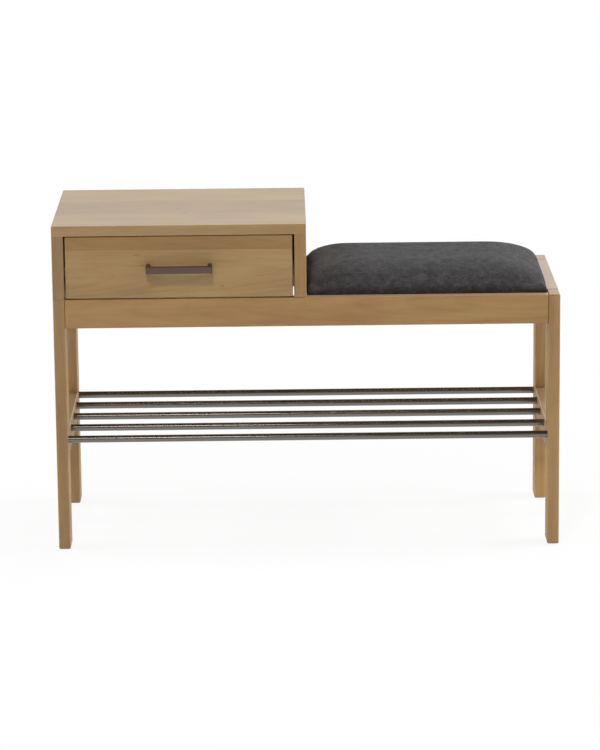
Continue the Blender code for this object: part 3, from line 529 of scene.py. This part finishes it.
topStaves = tuple(topLow[1] + (topHigh[1] - topLow[1]) * part for part in (0.29, 0.66))
frontStaves = (0.5185,)
frontTrim = {"x": (None, drawerFrontHigh[0] - 0.0008),  # gaps right and above as the photograph has them
             "z": (None, drawerFrontHigh[2] + 0.0007)}
legEase = 0.0026  # legs are eased more than the boards
paintedLitTop, paintedBrightTop = (0.15, 0.20), (0.26, 0.32)  # rail tops, tone and tint against the faces: painted light, paler and greyer as a painted highlight and sheen
acrossX, acrossY = ("-x", "+x"), ("-y", "+y")
solidBoards = {
    # the front left leg's face on the right is painted paler, as painted light from the right
    "frontLeftLeg": boardEntry("z", -0.12, ("+z",), radius=legEase, rightTone=0.36),
    "frontRightLeg": boardEntry("z", 0.01, radius=legEase, tint=-0.02),
    # painted light: the rear legs' paler tones lift the shade they stand in under the bench
    "rearLeftLeg": boardEntry("z", 0.24, ("+z",), radius=legEase),
    "rearRightLeg": boardEntry("z", 0.34, radius=legEase, tint=-0.02),
    "frontRail": boardEntry("x", 0.0, acrossX, {"x": betweenLegs}, tint=-0.05, topShade=paintedBrightTop),
    "rearRail": boardEntry("x", -0.02, acrossX, {"x": betweenLegs}, tint=-0.05, topShade=paintedLitTop),
    "leftEndRail": boardEntry("y", -0.03, (*acrossY, "+z"), {"y": betweenFeet}),
    "rightEndRail": boardEntry("y", 0.02, acrossY, {"y": betweenFeet}, topShade=paintedLitTop),
    "leftRackRail": boardEntry("y", 0.0, acrossY, {"y": betweenFeet}, topShade=paintedLitTop),
    "rightRackRail": boardEntry("y", 0.03, acrossY, {"y": betweenFeet}, topShade=paintedLitTop),
    "middleRail": boardEntry("y", 0.0, (*acrossY, "+z"), {"y": betweenRails}, finish=woodRaw),
    "cabinetTop": boardEntry("x", square=("-z",), finish=woodTop, staveLines=topStaves,
                             tones=(-0.02, -0.14, 0.03), tints=(0.05, 0.05, 0.05)),
    "drawerFront": boardEntry("x", trim=frontTrim, body="drawer", finish=woodDrawer,
                              radius=0.0022, staveLines=frontStaves, tones=(0.04, -0.13),
                              tints=(0.06, -0.02)),
    "drawerLeftSide": boardEntry("y", 0.02, ("-y",), {"y": behindFront}, "drawer", woodRaw),
    "drawerRightSide": boardEntry("y", -0.01, ("-y",), {"y": behindFront}, "drawer", woodRaw),
    "drawerBack": boardEntry("x", 0.0, acrossX, {"x": insideDrawer}, "drawer", woodRaw),
    "frontSeatCleat": boardEntry("x", 0.03, finish=woodRaw),
    "rearSeatCleat": boardEntry("x", -0.02, finish=woodRaw),
}
for number, (name, board) in enumerate(solidBoards.items()):
    low, high = trimmedBox(name, board["trim"])
    freeAxes = [k for k in range(3) if k != axisIndex[board["grain"]]]
    staveAxis = max(freeAxes, key=lambda k: high[k] - low[k])
    shape = roundedBoard(low, high, board["radius"], board["square"], staveAxis,
                         board["dress"].get("staveLines", ()))
    piece = makePiece(name, shape, board["finish"], board["body"])
    dressWood(piece, board["grain"], firstSeeds["boards"] + number, **board["dress"])
print("boards made:", len(solidBoards))


def unit(vector):
    return vector / np.linalg.norm(vector)


# Closed outline with filleted corners: each corner is an arc between its two tangent points,
# with one extra point beyond each tangent point that keeps the flats flat
def filletOutline(corners, radii, steps=5, keep=1.25):
    corners = np.array(corners, float)
    rows = []
    for here, before, after, radius in zip(corners, np.roll(corners, 1, 0), np.roll(corners, -1, 0), radii):
        back, ahead = unit(before - here), unit(after - here)
        half = math.acos(np.clip(back @ ahead, -1, 1)) / 2
        reach = radius / math.tan(half)
        centre = here + unit(back + ahead) * radius / math.sin(half)
        first, last = here + back * reach - centre, here + ahead * reach - centre
        share = np.linspace(0, 1, steps)[:, None]
        spread = math.pi - 2 * half
        arc = (np.sin((1 - share) * spread) * first + np.sin(share * spread) * last) / math.sin(spread)
        rows.append(here + back * reach * keep)
        rows.extend(centre + arc)
        rows.append(here + ahead * reach * keep)
    return np.array(rows)


# Outline carried up between two heights, closed by a flat cap at each end
def carriedOutline(outline, bottom, top):
    count = len(outline)
    points = np.zeros((2 * count, 3))
    points[:, :2] = np.concatenate([outline, outline])
    points[:count, 2] = bottom
    points[count:, 2] = top
    here = np.arange(count)
    there = np.roll(here, -1)
    walls = np.stack([here, there, there + count, here + count], -1).tolist()
    return points, [*walls, here[::-1].tolist(), (here + count).tolist()]


# Cabinet sides: an L outline, because the back panel sits in a rebate, carried up the full height
sideSpec = {"ease": 0.0018, "rebateEase": 0.0005, "nook": 0.0003, "topSeam": 0.00004}
cabinetSides = {
    "cabinetLeftSide": {"tone": -0.20, "tint": 0.01, "rebate": backLow[0] - fitGap},
    "cabinetRightSide": {"tone": -0.06, "tint": -0.03, "rebate": backHigh[0] + fitGap},
}
for number, (name, side) in enumerate(cabinetSides.items()):
    low, high = nodeBox(name)
    step, shelf = side["rebate"], backLow[1] - fitGap
    ease, rebateEase, nook = sideSpec["ease"], sideSpec["rebateEase"], sideSpec["nook"]
    corners = [(low[0], low[1]), (high[0], low[1])]
    if name == "cabinetLeftSide":
        corners += [(high[0], shelf), (step, shelf), (step, high[1]), (low[0], high[1])]
        radii = (ease, ease, rebateEase, nook, rebateEase, ease)
    else:
        corners += [(high[0], high[1]), (step, high[1]), (step, shelf), (low[0], shelf)]
        radii = (ease, ease, ease, rebateEase, nook, rebateEase)
    outline = filletOutline(corners, radii)
    shape = carriedOutline(outline, legHigh[2] + fitGap, topLow[2] - sideSpec["topSeam"])
    piece = makePiece(name, shape, woodLacquer, "frame")
    dressWood(piece, "z", firstSeeds["sides"] + number, (), (side["tone"],), (side["tint"],))
print("cabinet sides made")

# Plywood panels, trimmed to what the grooves and rebates leave in sight
panelEase = 0.0004
panelBoards = {
    "cabinetBack": {"body": "frame", "finish": plyThin, "trim": {"z": (None, topLow[2] - fitGap)}},
    "drawerBottom": {"body": "drawer", "finish": plyThin, "trim": {"x": insideDrawer, "y": behindFront}},
    "seatBoard": {"body": "frame", "finish": plyThick, "trim": {}},
}
for number, (name, panel) in enumerate(panelBoards.items()):
    low, high = trimmedBox(name, panel["trim"])
    piece = makePiece(name, roundedBoard(low, high, panelEase), panel["finish"], panel["body"])
    dressWood(piece, "x", firstSeeds["panels"] + number)
    thin = int(np.argmin(high - low))
    edgeFaces = np.abs(readVectors(piece.data.polygons, "normal")[:, thin]) < 0.5
    piece.data.attributes["tone"].data.foreach_set("value", plyLook["edgeTone"] * edgeFaces)
print("panels made")


# quads between the rows of a grid of indices, each row closed on itself
def rowQuads(index):
    after = np.roll(index, -1, 1)
    return np.stack([index[:-1], index[1:], after[1:], after[:-1]], -1).reshape(-1, 4)


# Turned surface: rows of radius and height about an axis, height may change round the turn.
# Rows run down the outer side; a row of radius zero is one point, a loop joins its last row to its first.
def turnedGrid(radii, heights, origin, axis, sides, loop=False):
    axis = np.array(axis, float)
    helper = np.array((0.0, 0.0, 1.0)) if abs(axis[2]) < 0.9 else np.array((1.0, 0.0, 0.0))
    across = unit(np.cross(helper, axis))
    beside = np.cross(axis, across)
    radii = np.array(radii, float)
    heights = np.broadcast_to(np.array(heights, float).reshape(len(radii), -1), (len(radii), sides))
    turn = np.arange(sides) * math.tau / sides
    rim = np.cos(turn)[:, None] * across + np.sin(turn)[:, None] * beside
    grid = origin + radii[:, None, None] * rim + heights[:, :, None] * axis
    index = np.arange(len(radii) * sides).reshape(len(radii), sides)
    index[radii == 0.0] = index[radii == 0.0][:, :1]
    if loop:
        index = np.concatenate([index, index[:1]])
    used, quads = np.unique(rowQuads(index), return_inverse=True)
    faces = [list(dict.fromkeys(quad)) for quad in quads.reshape(-1, 4).tolist()]
    return grid.reshape(-1, 3)[used], faces


# Rods: plain tube, ends rounded over and let into the wood
rodSpec = {"count": 5, "sides": 40, "letIn": 0.0015, "soft": 0.0008}
for number in range(1, rodSpec["count"] + 1):
    name = f"rackRod{number}"
    low, high = nodeBox(name)
    radius = (high[2] - low[2]) / 2
    middle = (low + high) / 2
    half = farLegLow[0] - middle[0] + rodSpec["letIn"]
    soft = rodSpec["soft"]
    endRadii = np.array((0.0, radius - soft, radius - soft * easeMiddle, radius, radius))
    endHeights = half - soft * np.array((0.0, 0.0, easeMiddle, 1.0, 1.5))  # the last keeps the span straight
    radii = np.concatenate([endRadii, endRadii[::-1]])
    heights = np.concatenate([endHeights, -endHeights[::-1]])
    shape = turnedGrid(radii, heights, middle, (1.0, 0.0, 0.0), rodSpec["sides"])
    makePiece(name, shape, rodSteel, "frame")
print("rods made")

# Drawer pull: a rounded section carried round a U. The outer and inner lines of the U are paired point by
# point; the section at each pair spans them, and its four corners are rounded.
pullSpec = {"post": 0.007, "bar": 0.007, "outerBend": 0.003, "innerBend": 0.0012, "soft": 0.0009,
            "bendSteps": 8, "cornerSteps": 4, "straight": 0.0115, "keep": 0.4}


# quarter turn about a point inside the corner, from one end's direction to the other's
def bendLine(ends, corner, radius, steps):
    back, ahead = (unit(end - corner) for end in ends)
    turn = np.linspace(0, math.pi / 2, steps)[:, None]
    return corner + radius * (back + ahead) - radius * (np.cos(turn) * ahead + np.sin(turn) * back)


# straight gives the two places between which the bar is plain
def uLine(left, right, foot, front, radius, straight, steps):
    nearLeft, nearRight = np.array((left, foot)), np.array((right, foot))
    frontLeft, frontRight = np.array((left, front)), np.array((right, front))
    plain = [(place, front) for place in straight]
    return np.concatenate([[nearLeft], bendLine((nearLeft, frontRight), frontLeft, radius, steps), plain,
                           bendLine((frontLeft, nearRight), frontRight, radius, steps), [nearRight]])


# quarter turns of a rounded section, each with one point before and after it that keeps the flats flat
def sectionCorners(steps, keep):
    turn = np.arange(4)[:, None] * math.pi / 2 + np.linspace(0, math.pi / 2, steps)
    across, up = np.cos(turn), np.sin(turn)
    x = np.concatenate([across[:, :1] + keep * up[:, :1], across, across[:, -1:] - keep * up[:, -1:]], 1)
    z = np.concatenate([up[:, :1] - keep * across[:, :1], up, up[:, -1:] + keep * across[:, -1:]], 1)
    return x.ravel(), z.ravel()


def buildPull():
    low, high = nodeBox("drawerPull")
    straight = (low[0] + pullSpec["straight"], high[0] - pullSpec["straight"])
    outer = uLine(low[0], high[0], high[1], low[1], pullSpec["outerBend"], straight, pullSpec["bendSteps"])
    inner = uLine(low[0] + pullSpec["post"], high[0] - pullSpec["post"], high[1], low[1] + pullSpec["bar"],
                  pullSpec["innerBend"], straight, pullSpec["bendSteps"])
    middle = (outer + inner) / 2
    halfWidth = np.linalg.norm(outer - inner, axis=1) / 2
    outward = (outer - inner) / (2 * halfWidth[:, None])
    soft = pullSpec["soft"]
    roundX, roundZ = sectionCorners(pullSpec["cornerSteps"], pullSpec["keep"])
    cornerX = np.repeat((1.0, -1.0, -1.0, 1.0), pullSpec["cornerSteps"] + 2)
    cornerZ = np.repeat((1.0, 1.0, -1.0, -1.0), pullSpec["cornerSteps"] + 2)
    halfHigh = (high[2] - low[2]) / 2
    aside = cornerX * (halfWidth[:, None] - soft) + soft * roundX
    up = np.broadcast_to(cornerZ * (halfHigh - soft) + soft * roundZ, aside.shape)
    rows, ring = aside.shape
    points = np.empty((rows, ring, 3))
    points[:, :, :2] = middle[:, None] + aside[:, :, None] * outward[:, None]
    points[:, :, 2] = up + (low[2] + high[2]) / 2
    index = np.arange(rows * ring).reshape(rows, ring)
    faces = [*rowQuads(index).tolist(), index[0].tolist(), index[-1][::-1].tolist()]
    makePiece("drawerPull", (points.reshape(-1, 3), faces), pullSteel, "drawer")


buildPull()
print("pull made")

# Screws and bolts: pan head with a cross recess, plain shank, blunt point.
# The head's top is a dome lowered where it lies within the width of the two slots.
screwLook = {"sides": 48, "slotHalf": 0.13, "slotReach": 0.62, "slotDeep": 0.55, "domeShare": 0.5, "tip": 0.3,
             "sharpAngle": 30.0, "rings": (0.0, 0.08, 0.16, 0.28, 0.40, 0.52, 0.62, 0.70, 0.80, 0.90, 1.0)}
screwKinds = {
    "seat": {"axis": "z", "headRadius": 0.003, "headHigh": 0.0025, "shankRadius": 0.0015},
    "runner": {"axis": "x", "headRadius": 0.003, "headHigh": 0.001, "shankRadius": 0.0015},
    "bolt": {"axis": "y", "headRadius": 0.004, "headHigh": 0.0025, "shankRadius": 0.002},
}


def screwPiece(name, body, kind, headUp):
    spec = screwKinds[kind]
    headRadius, headHigh, shankRadius = spec["headRadius"], spec["headHigh"], spec["shankRadius"]
    low, high = nodeBox(name)
    along = axisIndex[spec["axis"]]
    direction = np.zeros(3)
    direction[along] = headUp
    length = high[along] - low[along]
    top = (low + high) / 2 + direction * length / 2
    turn = np.arange(screwLook["sides"]) * math.tau / screwLook["sides"]
    topRadii = headRadius * np.array(screwLook["rings"])
    away = topRadii[:, None]
    aside = np.minimum(np.abs(away * np.cos(turn)), np.abs(away * np.sin(turn)))
    slot = (aside < screwLook["slotHalf"] * headRadius) & (away < screwLook["slotReach"] * headRadius)
    dome = -headHigh * screwLook["domeShare"] * (away / headRadius) ** 3
    topHeights = np.where(slot, -headHigh * screwLook["slotDeep"], dome)
    downRadii = np.array((headRadius, shankRadius, shankRadius, shankRadius * screwLook["tip"], 0.0))
    downHeights = np.array((-headHigh, -headHigh, shankRadius - length, -length, -length))
    downHeights = np.repeat(downHeights[:, None], len(turn), 1)
    radii, heights = np.concatenate([topRadii, downRadii]), np.concatenate([topHeights, downHeights])
    shape = turnedGrid(radii, heights, top, direction, screwLook["sides"])
    makePiece(name, shape, zincPlate, body, screwLook["sharpAngle"])


for end, side in cornerNames:
    endWord, sideWord = end.title(), side.title()
    inward = 1 if side == "left" else -1
    screwPiece(f"seat{endWord}{sideWord}Screw", "frame", "seat", -1)
    screwPiece(f"{side}Channel{endWord}Screw", "frame", "runner", inward)
    screwPiece(f"{side}Carrier{endWord}Screw", "drawer", "runner", -inward)
for side in ("left", "right"):
    screwPiece(f"pull{side.title()}Bolt", "drawer", "bolt", 1)
print("screws made")

# Rollers: a ring with eased rims and a shallow groove in each cheek
rollerSpec = {"bore": 0.0018, "ease": 0.0005, "grooveDeep": 0.0006, "grooveSlope": 0.0002, "hubWall": 0.0011,
              "rimWall": 0.0012, "sides": 48}
for end, side in cornerNames:
    name = f"{side}{end.title()}Roller"
    low, high = nodeBox(name)
    radius, half = (high[2] - low[2]) / 2, (high[0] - low[0]) / 2
    ease, slope, floor = rollerSpec["ease"], rollerSpec["grooveSlope"], half - rollerSpec["grooveDeep"]
    hub, rim = rollerSpec["bore"] + rollerSpec["hubWall"], radius - rollerSpec["rimWall"]
    cheek = [(rollerSpec["bore"], half), (hub, half), (hub + slope, floor), (rim - slope, floor), (rim, half),
             (radius - ease, half), (radius - ease * easeMiddle, half - ease * easeMiddle),
             (radius, half - ease), (radius, half - ease * 1.4)]
    rows = np.array(cheek + [(r, -h) for r, h in reversed(cheek)])
    shape = turnedGrid(*rows.T, (low + high) / 2, (1.0, 0.0, 0.0), rollerSpec["sides"], loop=True)
    makePiece(name, shape, rollerNylon, nodeOf(name))  # each roller is a body of its own

# Glides: a low disc with a rounded rim and its nail stem
glideSpec = {"stemRadius": 0.002, "discHigh": 0.002, "topEase": 0.0004, "footEase": 0.0008, "sides": 48}
for end, side in cornerNames:
    name = f"{end}{side.title()}Glide"
    low, high = nodeBox(name)
    disc, stem, rim = (high[0] - low[0]) / 2, high[2] - low[2], glideSpec["discHigh"]
    ease, foot, nail = glideSpec["topEase"], glideSpec["footEase"], glideSpec["stemRadius"]
    rows = np.array([(0.0, stem), (nail, stem), (nail, rim), (disc - ease, rim),
                     (disc - ease * 0.25, rim - ease * 0.25), (disc, rim - ease), (disc, foot),
                     (disc - foot * 0.25, foot * 0.375), (disc - foot, 0.0), (0.0, 0.0)])
    origin = np.array(((low[0] + high[0]) / 2, (low[1] + high[1]) / 2, low[2]))
    shape = turnedGrid(*rows.T, origin, (0.0, 0.0, 1.0), glideSpec["sides"])
    makePiece(name, shape, glidePlastic, "frame")

# Runner members keep their CAD shape and get the coating
for name in ("left_channel", "right_channel", "left_carrier", "right_carrier"):
    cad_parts[name].data.materials.clear()
    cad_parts[name].data.materials.append(runnerCoat)
print("rollers, glides and runners dressed")

# Seat pad: a crowned block with elliptic shoulders, swelled by a cloth run and capped
padSpec = {
    "grid": (121, 97, 17),
    "crownDrop": 0.0066,  # start below the finished crown, the cover swells up to it
    "insetX": -0.0008,  # the cover touches the cabinet and the end rail
    "insetY": 0.0025,
    "runLeft": 0.082,
    "runRight": 0.104,
    "runY": 0.088,
    "shoulderFall": 0.0305,
    "shoulderPower": 1.7,
    "cornerPower": 3.5,
    "footCorner": 0.004,
    "tuckY": 0.0040,
    "voxel": 0.005,
    "cloth": {"quality": 6, "mass": 0.3, "tension_stiffness": 30.0, "compression_stiffness": 30.0,
              "bending_stiffness": 2.0, "use_pressure": True, "uniform_pressure_force": 4.0},
    "lastFrame": 20,
    "foamHold": 0.08,  # share of an inward step that the foam behind the cover lets through
    "wallHold": 0.15,  # share of a sideways step that the cabinet and the end rail let through
    "cap": 0.0045,
    "touch": 0.0002,
    "press": 0.0010,
    "leastLean": 1e-4,
}


# Pad height falls from the crown by a superellipse over the shoulder run; near a corner the two distances
# are combined by a power mean. Front and rear draw in towards the foot, plan corners are rounded.
def padShape(low, high):
    power, cornerPower = padSpec["shoulderPower"], padSpec["cornerPower"]
    halfX, halfY = (high[0] - low[0]) / 2 - padSpec["insetX"], (high[1] - low[1]) / 2 - padSpec["insetY"]
    tall = high[2] - low[2] - padSpec["crownDrop"]
    columns, rows, levels = padSpec["grid"]
    points, quads = boxLattice(np.linspace(-1, 1, columns) * halfX, np.linspace(-1, 1, rows) * halfY,
                               np.linspace(0, 1, levels))
    x, y, level = points.T
    awayX, awayY = halfX - np.abs(x), halfY - np.abs(y)
    runX = np.where(x < 0, padSpec["runLeft"], padSpec["runRight"])
    nearX, nearY = np.clip(1 - awayX / runX, 0, 1), np.clip(1 - awayY / padSpec["runY"], 0, 1)
    near = np.clip((nearX ** cornerPower + nearY ** cornerPower) ** (1 / cornerPower), 0, 1)
    fall = padSpec["shoulderFall"] * (1 - (1 - near ** power) ** (1 / power))
    foot = padSpec["footCorner"]
    cutX, cutY = np.clip(foot - awayX, 0, None), np.clip(foot - awayY, 0, None)
    beyond = np.hypot(cutX, cutY)
    pull = np.where(beyond > foot, foot / np.maximum(beyond, tiny), 1.0)
    x = np.sign(x) * (np.abs(x) - cutX * (1 - pull))
    y = np.sign(y) * (np.abs(y) - cutY * (1 - pull))
    drawY = 1 - padSpec["tuckY"] * (1 - level) ** 2 / halfY
    middle = (low + high) / 2
    return np.stack([middle[0] + x, middle[1] + y * drawY, low[2] + level * (tall - fall)], -1), quads


def freshMesh(source):
    return bpy.data.meshes.new_from_object(source.evaluated_get(bpy.context.evaluated_depsgraph_get()))


def swellPad(mesh):
    scene = bpy.context.scene
    trial = addObject("padTrial", mesh)
    cloth = trial.modifiers.new("cover", "CLOTH")
    for name, value in padSpec["cloth"].items():
        setattr(cloth.settings, name, value)
    cloth.settings.effector_weights.gravity = 0.0
    cloth.point_cache.frame_start = 1
    cloth.point_cache.frame_end = padSpec["lastFrame"]
    for number in range(1, padSpec["lastFrame"] + 1):
        scene.frame_set(number)
    swelled = readVectors(freshMesh(trial).vertices, "co")
    bpy.data.objects.remove(trial)
    scene.frame_set(1)
    return swelled


def buildPad():
    low, high = nodeBox("seatPad")
    points, quads = padShape(low, high)
    start = bpy.data.meshes.new("padStart")
    start.from_pydata(points.tolist(), [], quads.tolist())
    block = addObject("padBlock", start)
    even = block.modifiers.new("even", "REMESH")
    even.mode = "VOXEL"
    even.voxel_size = padSpec["voxel"]
    mesh = freshMesh(block)
    bpy.data.objects.remove(block)
    rest = readVectors(mesh.vertices, "co")
    moved = rest.copy()
    step = swellPad(mesh.copy()) - rest
    outward = (step * readVectors(mesh.vertices, "normal")).sum(1, keepdims=True)
    step = np.where(outward < 0, step * padSpec["foamHold"], step)
    step[:, 0] *= padSpec["wallHold"]
    length = np.linalg.norm(step, axis=1, keepdims=True)
    moved = rest + step * np.minimum(1.0, padSpec["cap"] / np.maximum(length, tiny))
    wallLeft, wallRight = nodeBox("cabinetRightSide")[1][0], nodeBox("rightEndRail")[0][0]
    middle, half = (wallLeft + wallRight) / 2, (wallRight - wallLeft) / 2
    across = 2 * (moved[:, 0] - moved[:, 0].min()) / np.ptp(moved[:, 0]) - 1
    reach = half - padSpec["touch"]
    pressed = np.clip(across * (half + padSpec["press"]), -reach, reach)  # flat where it meets a wall
    moved[:, 0] = middle + pressed
    moved[:, 2] = np.maximum(moved[:, 2], low[2])
    mesh.vertices.foreach_set("co", moved.ravel())
    mesh.update()
    mesh.shade_smooth()
    pad = addObject("seatPad", mesh)
    soften = pad.modifiers.new("soften", "SUBSURF")
    soften.levels = soften.render_levels = 1
    return pad


# Weave coordinates: position on the flat top, carried on over the shoulders by how far the cover drops
def dressPad(pad, material):
    mesh = pad.data
    points = readVectors(mesh.vertices, "co")
    normals = readVectors(mesh.vertices, "normal")
    drop = points[:, 2].max() - points[:, 2]
    lean = np.abs(normals[:, 0]) + np.abs(normals[:, 1]) + padSpec["leastLean"]
    coords = np.stack([points[:, 0] + drop * normals[:, 0] / lean, points[:, 1] + drop * normals[:, 1] / lean,
                       np.zeros(len(points))], -1)
    addAttribute(mesh, "cover", "FLOAT_VECTOR", "POINT", coords)
    mesh.materials.clear()
    mesh.materials.append(material)
    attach(pad, "frame")
    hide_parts("seat_pad")


# Cover: plain weave of two yarn sets, each yarn mottled along its length, with darker and paler flecks
coverLook = {
    "colours": ((0.0145, 0.0138, 0.0140), (0.0330, 0.0315, 0.0315), (0.080, 0.0765, 0.0762)),  # dark to pale
    "colourPlaces": (0.30, 0.52, 0.76),
    "yarn": 0.0011,
    "yarnMottle": 150.0,
    "crossing": (-0.35, 0.35),  # where one yarn set gives way to the other
    "noises": {  # stretch across the cover both ways, detail, roughness
        "slub": ((420.0, 380.0, 0.0), 3.0, 0.6),
        "cloud": ((45.0, 45.0, 0.0), 5.0, 0.75),
        "drift": ((50.0, 35.0, 0.0), 4.0, 0.65),
        "paleFleck": ((100.0, 150.0, 0.0), 2.0),
    },
    "darkFleck": ((120.0, 150.0, 0.0), 2.0),
    "darkFleckShift": (3.1, 1.7, 0.0),
    "fleckRise": (0.55, 0.70),
    "shadeStart": -0.205,  # the shade runs from dark to pale
    "shadeShares": {"yarn": 0.45, "slub": 0.32, "paleFleck": 0.10, "darkFleck": -0.10, "cloud": 0.20,
                    "drift": 0.30, "relief": 0.22},
    "sheen": (0.35, 0.70, 0.02, 0.16),
    "matt": {"Roughness": 0.92, "Specular IOR Level": 0.25, "Sheen Roughness": 0.5,
             "Sheen Tint": (0.75, 0.75, 0.77, 1.0)},
    "bump": (0.55, 0.0004),  # strength and distance
}


def coverFinish():
    look = coverLook
    material, tree, shader = newMaterial("coverWeave")
    coords = attributeOf(tree, "cover", "Vector")
    parts = split(coords)
    warp, weft = (calc("SINE", calc("MULTIPLY", calc("DIVIDE", parts[k], look["yarn"]), math.pi))
                  for k in (0, 1))
    over = mapRange(calc("MULTIPLY", warp, weft), look["crossing"])
    warpYarn = stretchedNoise(coords, (1 / look["yarn"], look["yarnMottle"], 0.0), 2.0)
    weftYarn = stretchedNoise(coords, (look["yarnMottle"], 1 / look["yarn"], 0.0), 2.0)
    fields = noiseFields(coords, look["noises"])
    shifted = vectorCalc("ADD", coords, look["darkFleckShift"])
    fields["paleFleck"] = mapRange(fields["paleFleck"], look["fleckRise"])
    fields["darkFleck"] = mapRange(stretchedNoise(shifted, *look["darkFleck"]), look["fleckRise"])
    fields["yarn"] = addNode("Mix", {"Factor": over, "A": weftYarn, "B": warpYarn}).outputs[0]
    fields["relief"] = addNode("Mix", {"Factor": over, "A": calc("ABSOLUTE", weft),
                                       "B": calc("ABSOLUTE", warp)}).outputs[0]
    # the relief share is painted shade: darker in the hollows between the yarns, paler on their crowns
    shade = blend(look["shadeStart"], fields, look["shadeShares"])
    feed(shader, {"Base Color": ramp(shade, look["colourPlaces"], look["colours"]),
                  "Normal": bumpOf(fields["relief"], *look["bump"]),
                  "Sheen Weight": mapRange(shade, look["sheen"]), **look["matt"]})
    return material


dressPad(buildPad(), coverFinish())
print("seat pad made")

# Camera: zero shift, as the photograph's own view after a fit to the bench's corners
cameraSpec = {"place": (-0.0370, -5.9069, 1.6341), "yaw": -0.245, "pitch": 13.052, "roll": -0.584,
              "lens": 168.36, "sensor": 36.0, "farthest": 200.0}


def makeCamera():
    yaw, pitch, roll = (math.radians(cameraSpec[key]) for key in ("yaw", "pitch", "roll"))
    ahead = np.array((-math.sin(yaw) * math.cos(pitch), math.cos(yaw) * math.cos(pitch), -math.sin(pitch)))
    level = np.array((math.cos(yaw), math.sin(yaw), 0.0))
    above = np.cross(level, ahead)
    right = math.cos(roll) * level + math.sin(roll) * above
    up = math.cos(roll) * above - math.sin(roll) * level
    data = bpy.data.cameras.new("photoCamera")
    data.lens = cameraSpec["lens"]
    data.sensor_width = cameraSpec["sensor"]
    data.clip_end = cameraSpec["farthest"]
    camera = addObject("photoCamera", data)
    matrix = np.eye(4)
    matrix[:3] = np.stack([right, up, -ahead, cameraSpec["place"]], -1)
    camera.matrix_world = Matrix(matrix.tolist())
    bpy.context.scene.camera = camera


makeCamera()

# Light: a studio that is white round the horizon and dim above, a key from above in front and a little left,
# fills from both sides, low in front and behind, and a small card that the rods mirror
lamps = {
    "key": {"place": (-0.5, -3.0, 3.15), "size": 0.45, "power": 51.0},
    "right": {"place": (2.2, 0.1, 2.9), "size": 1.4, "power": 58.0},
    "left": {"place": (-2.2, 0.1, 2.9), "size": 1.4, "power": 36.0},
    "lowRight": {"place": (8.0, 0.6, 0.8), "size": 1.5, "power": 340.0},
    "lowLeft": {"place": (-8.0, 0.6, 0.8), "size": 1.5, "power": 220.0},
    "lowFront": {"place": (-1.2, -6.4, 0.8), "size": 1.5, "power": 10.0},
    "back": {"place": (0.6, 3.6, 1.7), "size": 1.6, "power": 45.0},
    "card": {"place": (-0.35, -2.95, 2.75), "size": 0.6, "power": 10.0, "mirrored": True},
}
lampAim = (0.0, 0.0, 0.35)
for name, spec in lamps.items():
    data = bpy.data.lights.new(name + "Lamp", "AREA")
    data.shape = "SQUARE"
    data.size = spec["size"]
    data.energy = spec["power"]
    lamp = addObject(name + "Lamp", data)
    lamp.location = spec["place"]
    lamp.visible_glossy = spec.get("mirrored", False)
    direction = Vector(np.subtract(lampAim, spec["place"]))
    lamp.rotation_euler = direction.to_track_quat("-Z", "Y").to_euler()

# heights and depths are parts of a unit direction; the studio is dark behind the camera
roomSpec = {"level": 0.55, "ceiling": (0.36, 0.80, 1.0, 0.15), "cameraSide": (-0.85, -0.15, 0.38, 1.0)}
plainWhite = (1.0, 1.0, 1.0, 1.0)


# share of rays that should see plain white: camera, glossy and transmission rays
def whiteRays(tree):
    path = addNode("LightPath", tree=tree)
    share = calc("MAXIMUM", path.outputs["Is Camera Ray"], path.outputs["Is Glossy Ray"])
    return calc("MAXIMUM", share, path.outputs["Is Transmission Ray"])


def lightRoom():
    world = bpy.data.worlds.new("whiteRoom")
    bpy.context.scene.world = world
    world.use_nodes = True
    tree = world.node_tree
    tree.nodes.clear()
    ways = split(placeOf(tree, "Generated"))
    ceiling = mapRange(ways[2], roomSpec["ceiling"])
    mirrored = calc("MULTIPLY", ceiling, mapRange(ways[1], roomSpec["cameraSide"]))
    seen = calc("MAXIMUM", mirrored, addNode("LightPath", tree=tree).outputs["Is Camera Ray"])
    level = calc("MULTIPLY", ceiling, roomSpec["level"])
    dim = addNode("Background", {"Color": plainWhite, "Strength": level})
    white = addNode("Background", {"Color": plainWhite, "Strength": seen})
    mixed = addNode("MixShader", {0: whiteRays(tree), 1: dim.outputs[0], 2: white.outputs[0]})
    addNode("OutputWorld", {"Surface": mixed.outputs[0]})


# Floor: a matt pale sheet that fades to plain white away from the bench and keeps a light shadow near it
floorSpec = {"half": 40.0, "colour": (0.86, 0.86, 0.86, 1.0), "shadowShare": 0.12, "near": 0.5, "far": 1.2}


def makeFloor():
    half = floorSpec["half"]
    corners = [(-half, -half, 0), (half, -half, 0), (half, half, 0), (-half, half, 0)]
    mesh = bpy.data.meshes.new("floor")
    mesh.from_pydata(corners, [], [(0, 1, 2, 3)])
    floor = addObject("floor", mesh)
    material, tree, shader = newMaterial("paleFloor")
    tree.nodes.remove(shader)
    away = vectorLength(placeOf(tree))
    kept = mapRange(away, (floorSpec["near"], floorSpec["far"], 1.0 - floorSpec["shadowShare"], 1.0))
    share = calc("MULTIPLY", kept, whiteRays(tree))
    matt = addNode("BsdfDiffuse", {"Color": floorSpec["colour"]}, tree)
    white = addNode("Emission", {"Color": plainWhite, "Strength": 1.0}, tree)
    mixed = addNode("MixShader", {0: share, 1: matt.outputs[0], 2: white.outputs[0]})
    output = next(node for node in tree.nodes if node.type == "OUTPUT_MATERIAL")
    feed(output, {"Surface": mixed.outputs[0]})
    mesh.materials.append(material)


lightRoom()
makeFloor()
bpy.context.scene.view_settings.view_transform = "Standard"
print("camera, light and floor set")
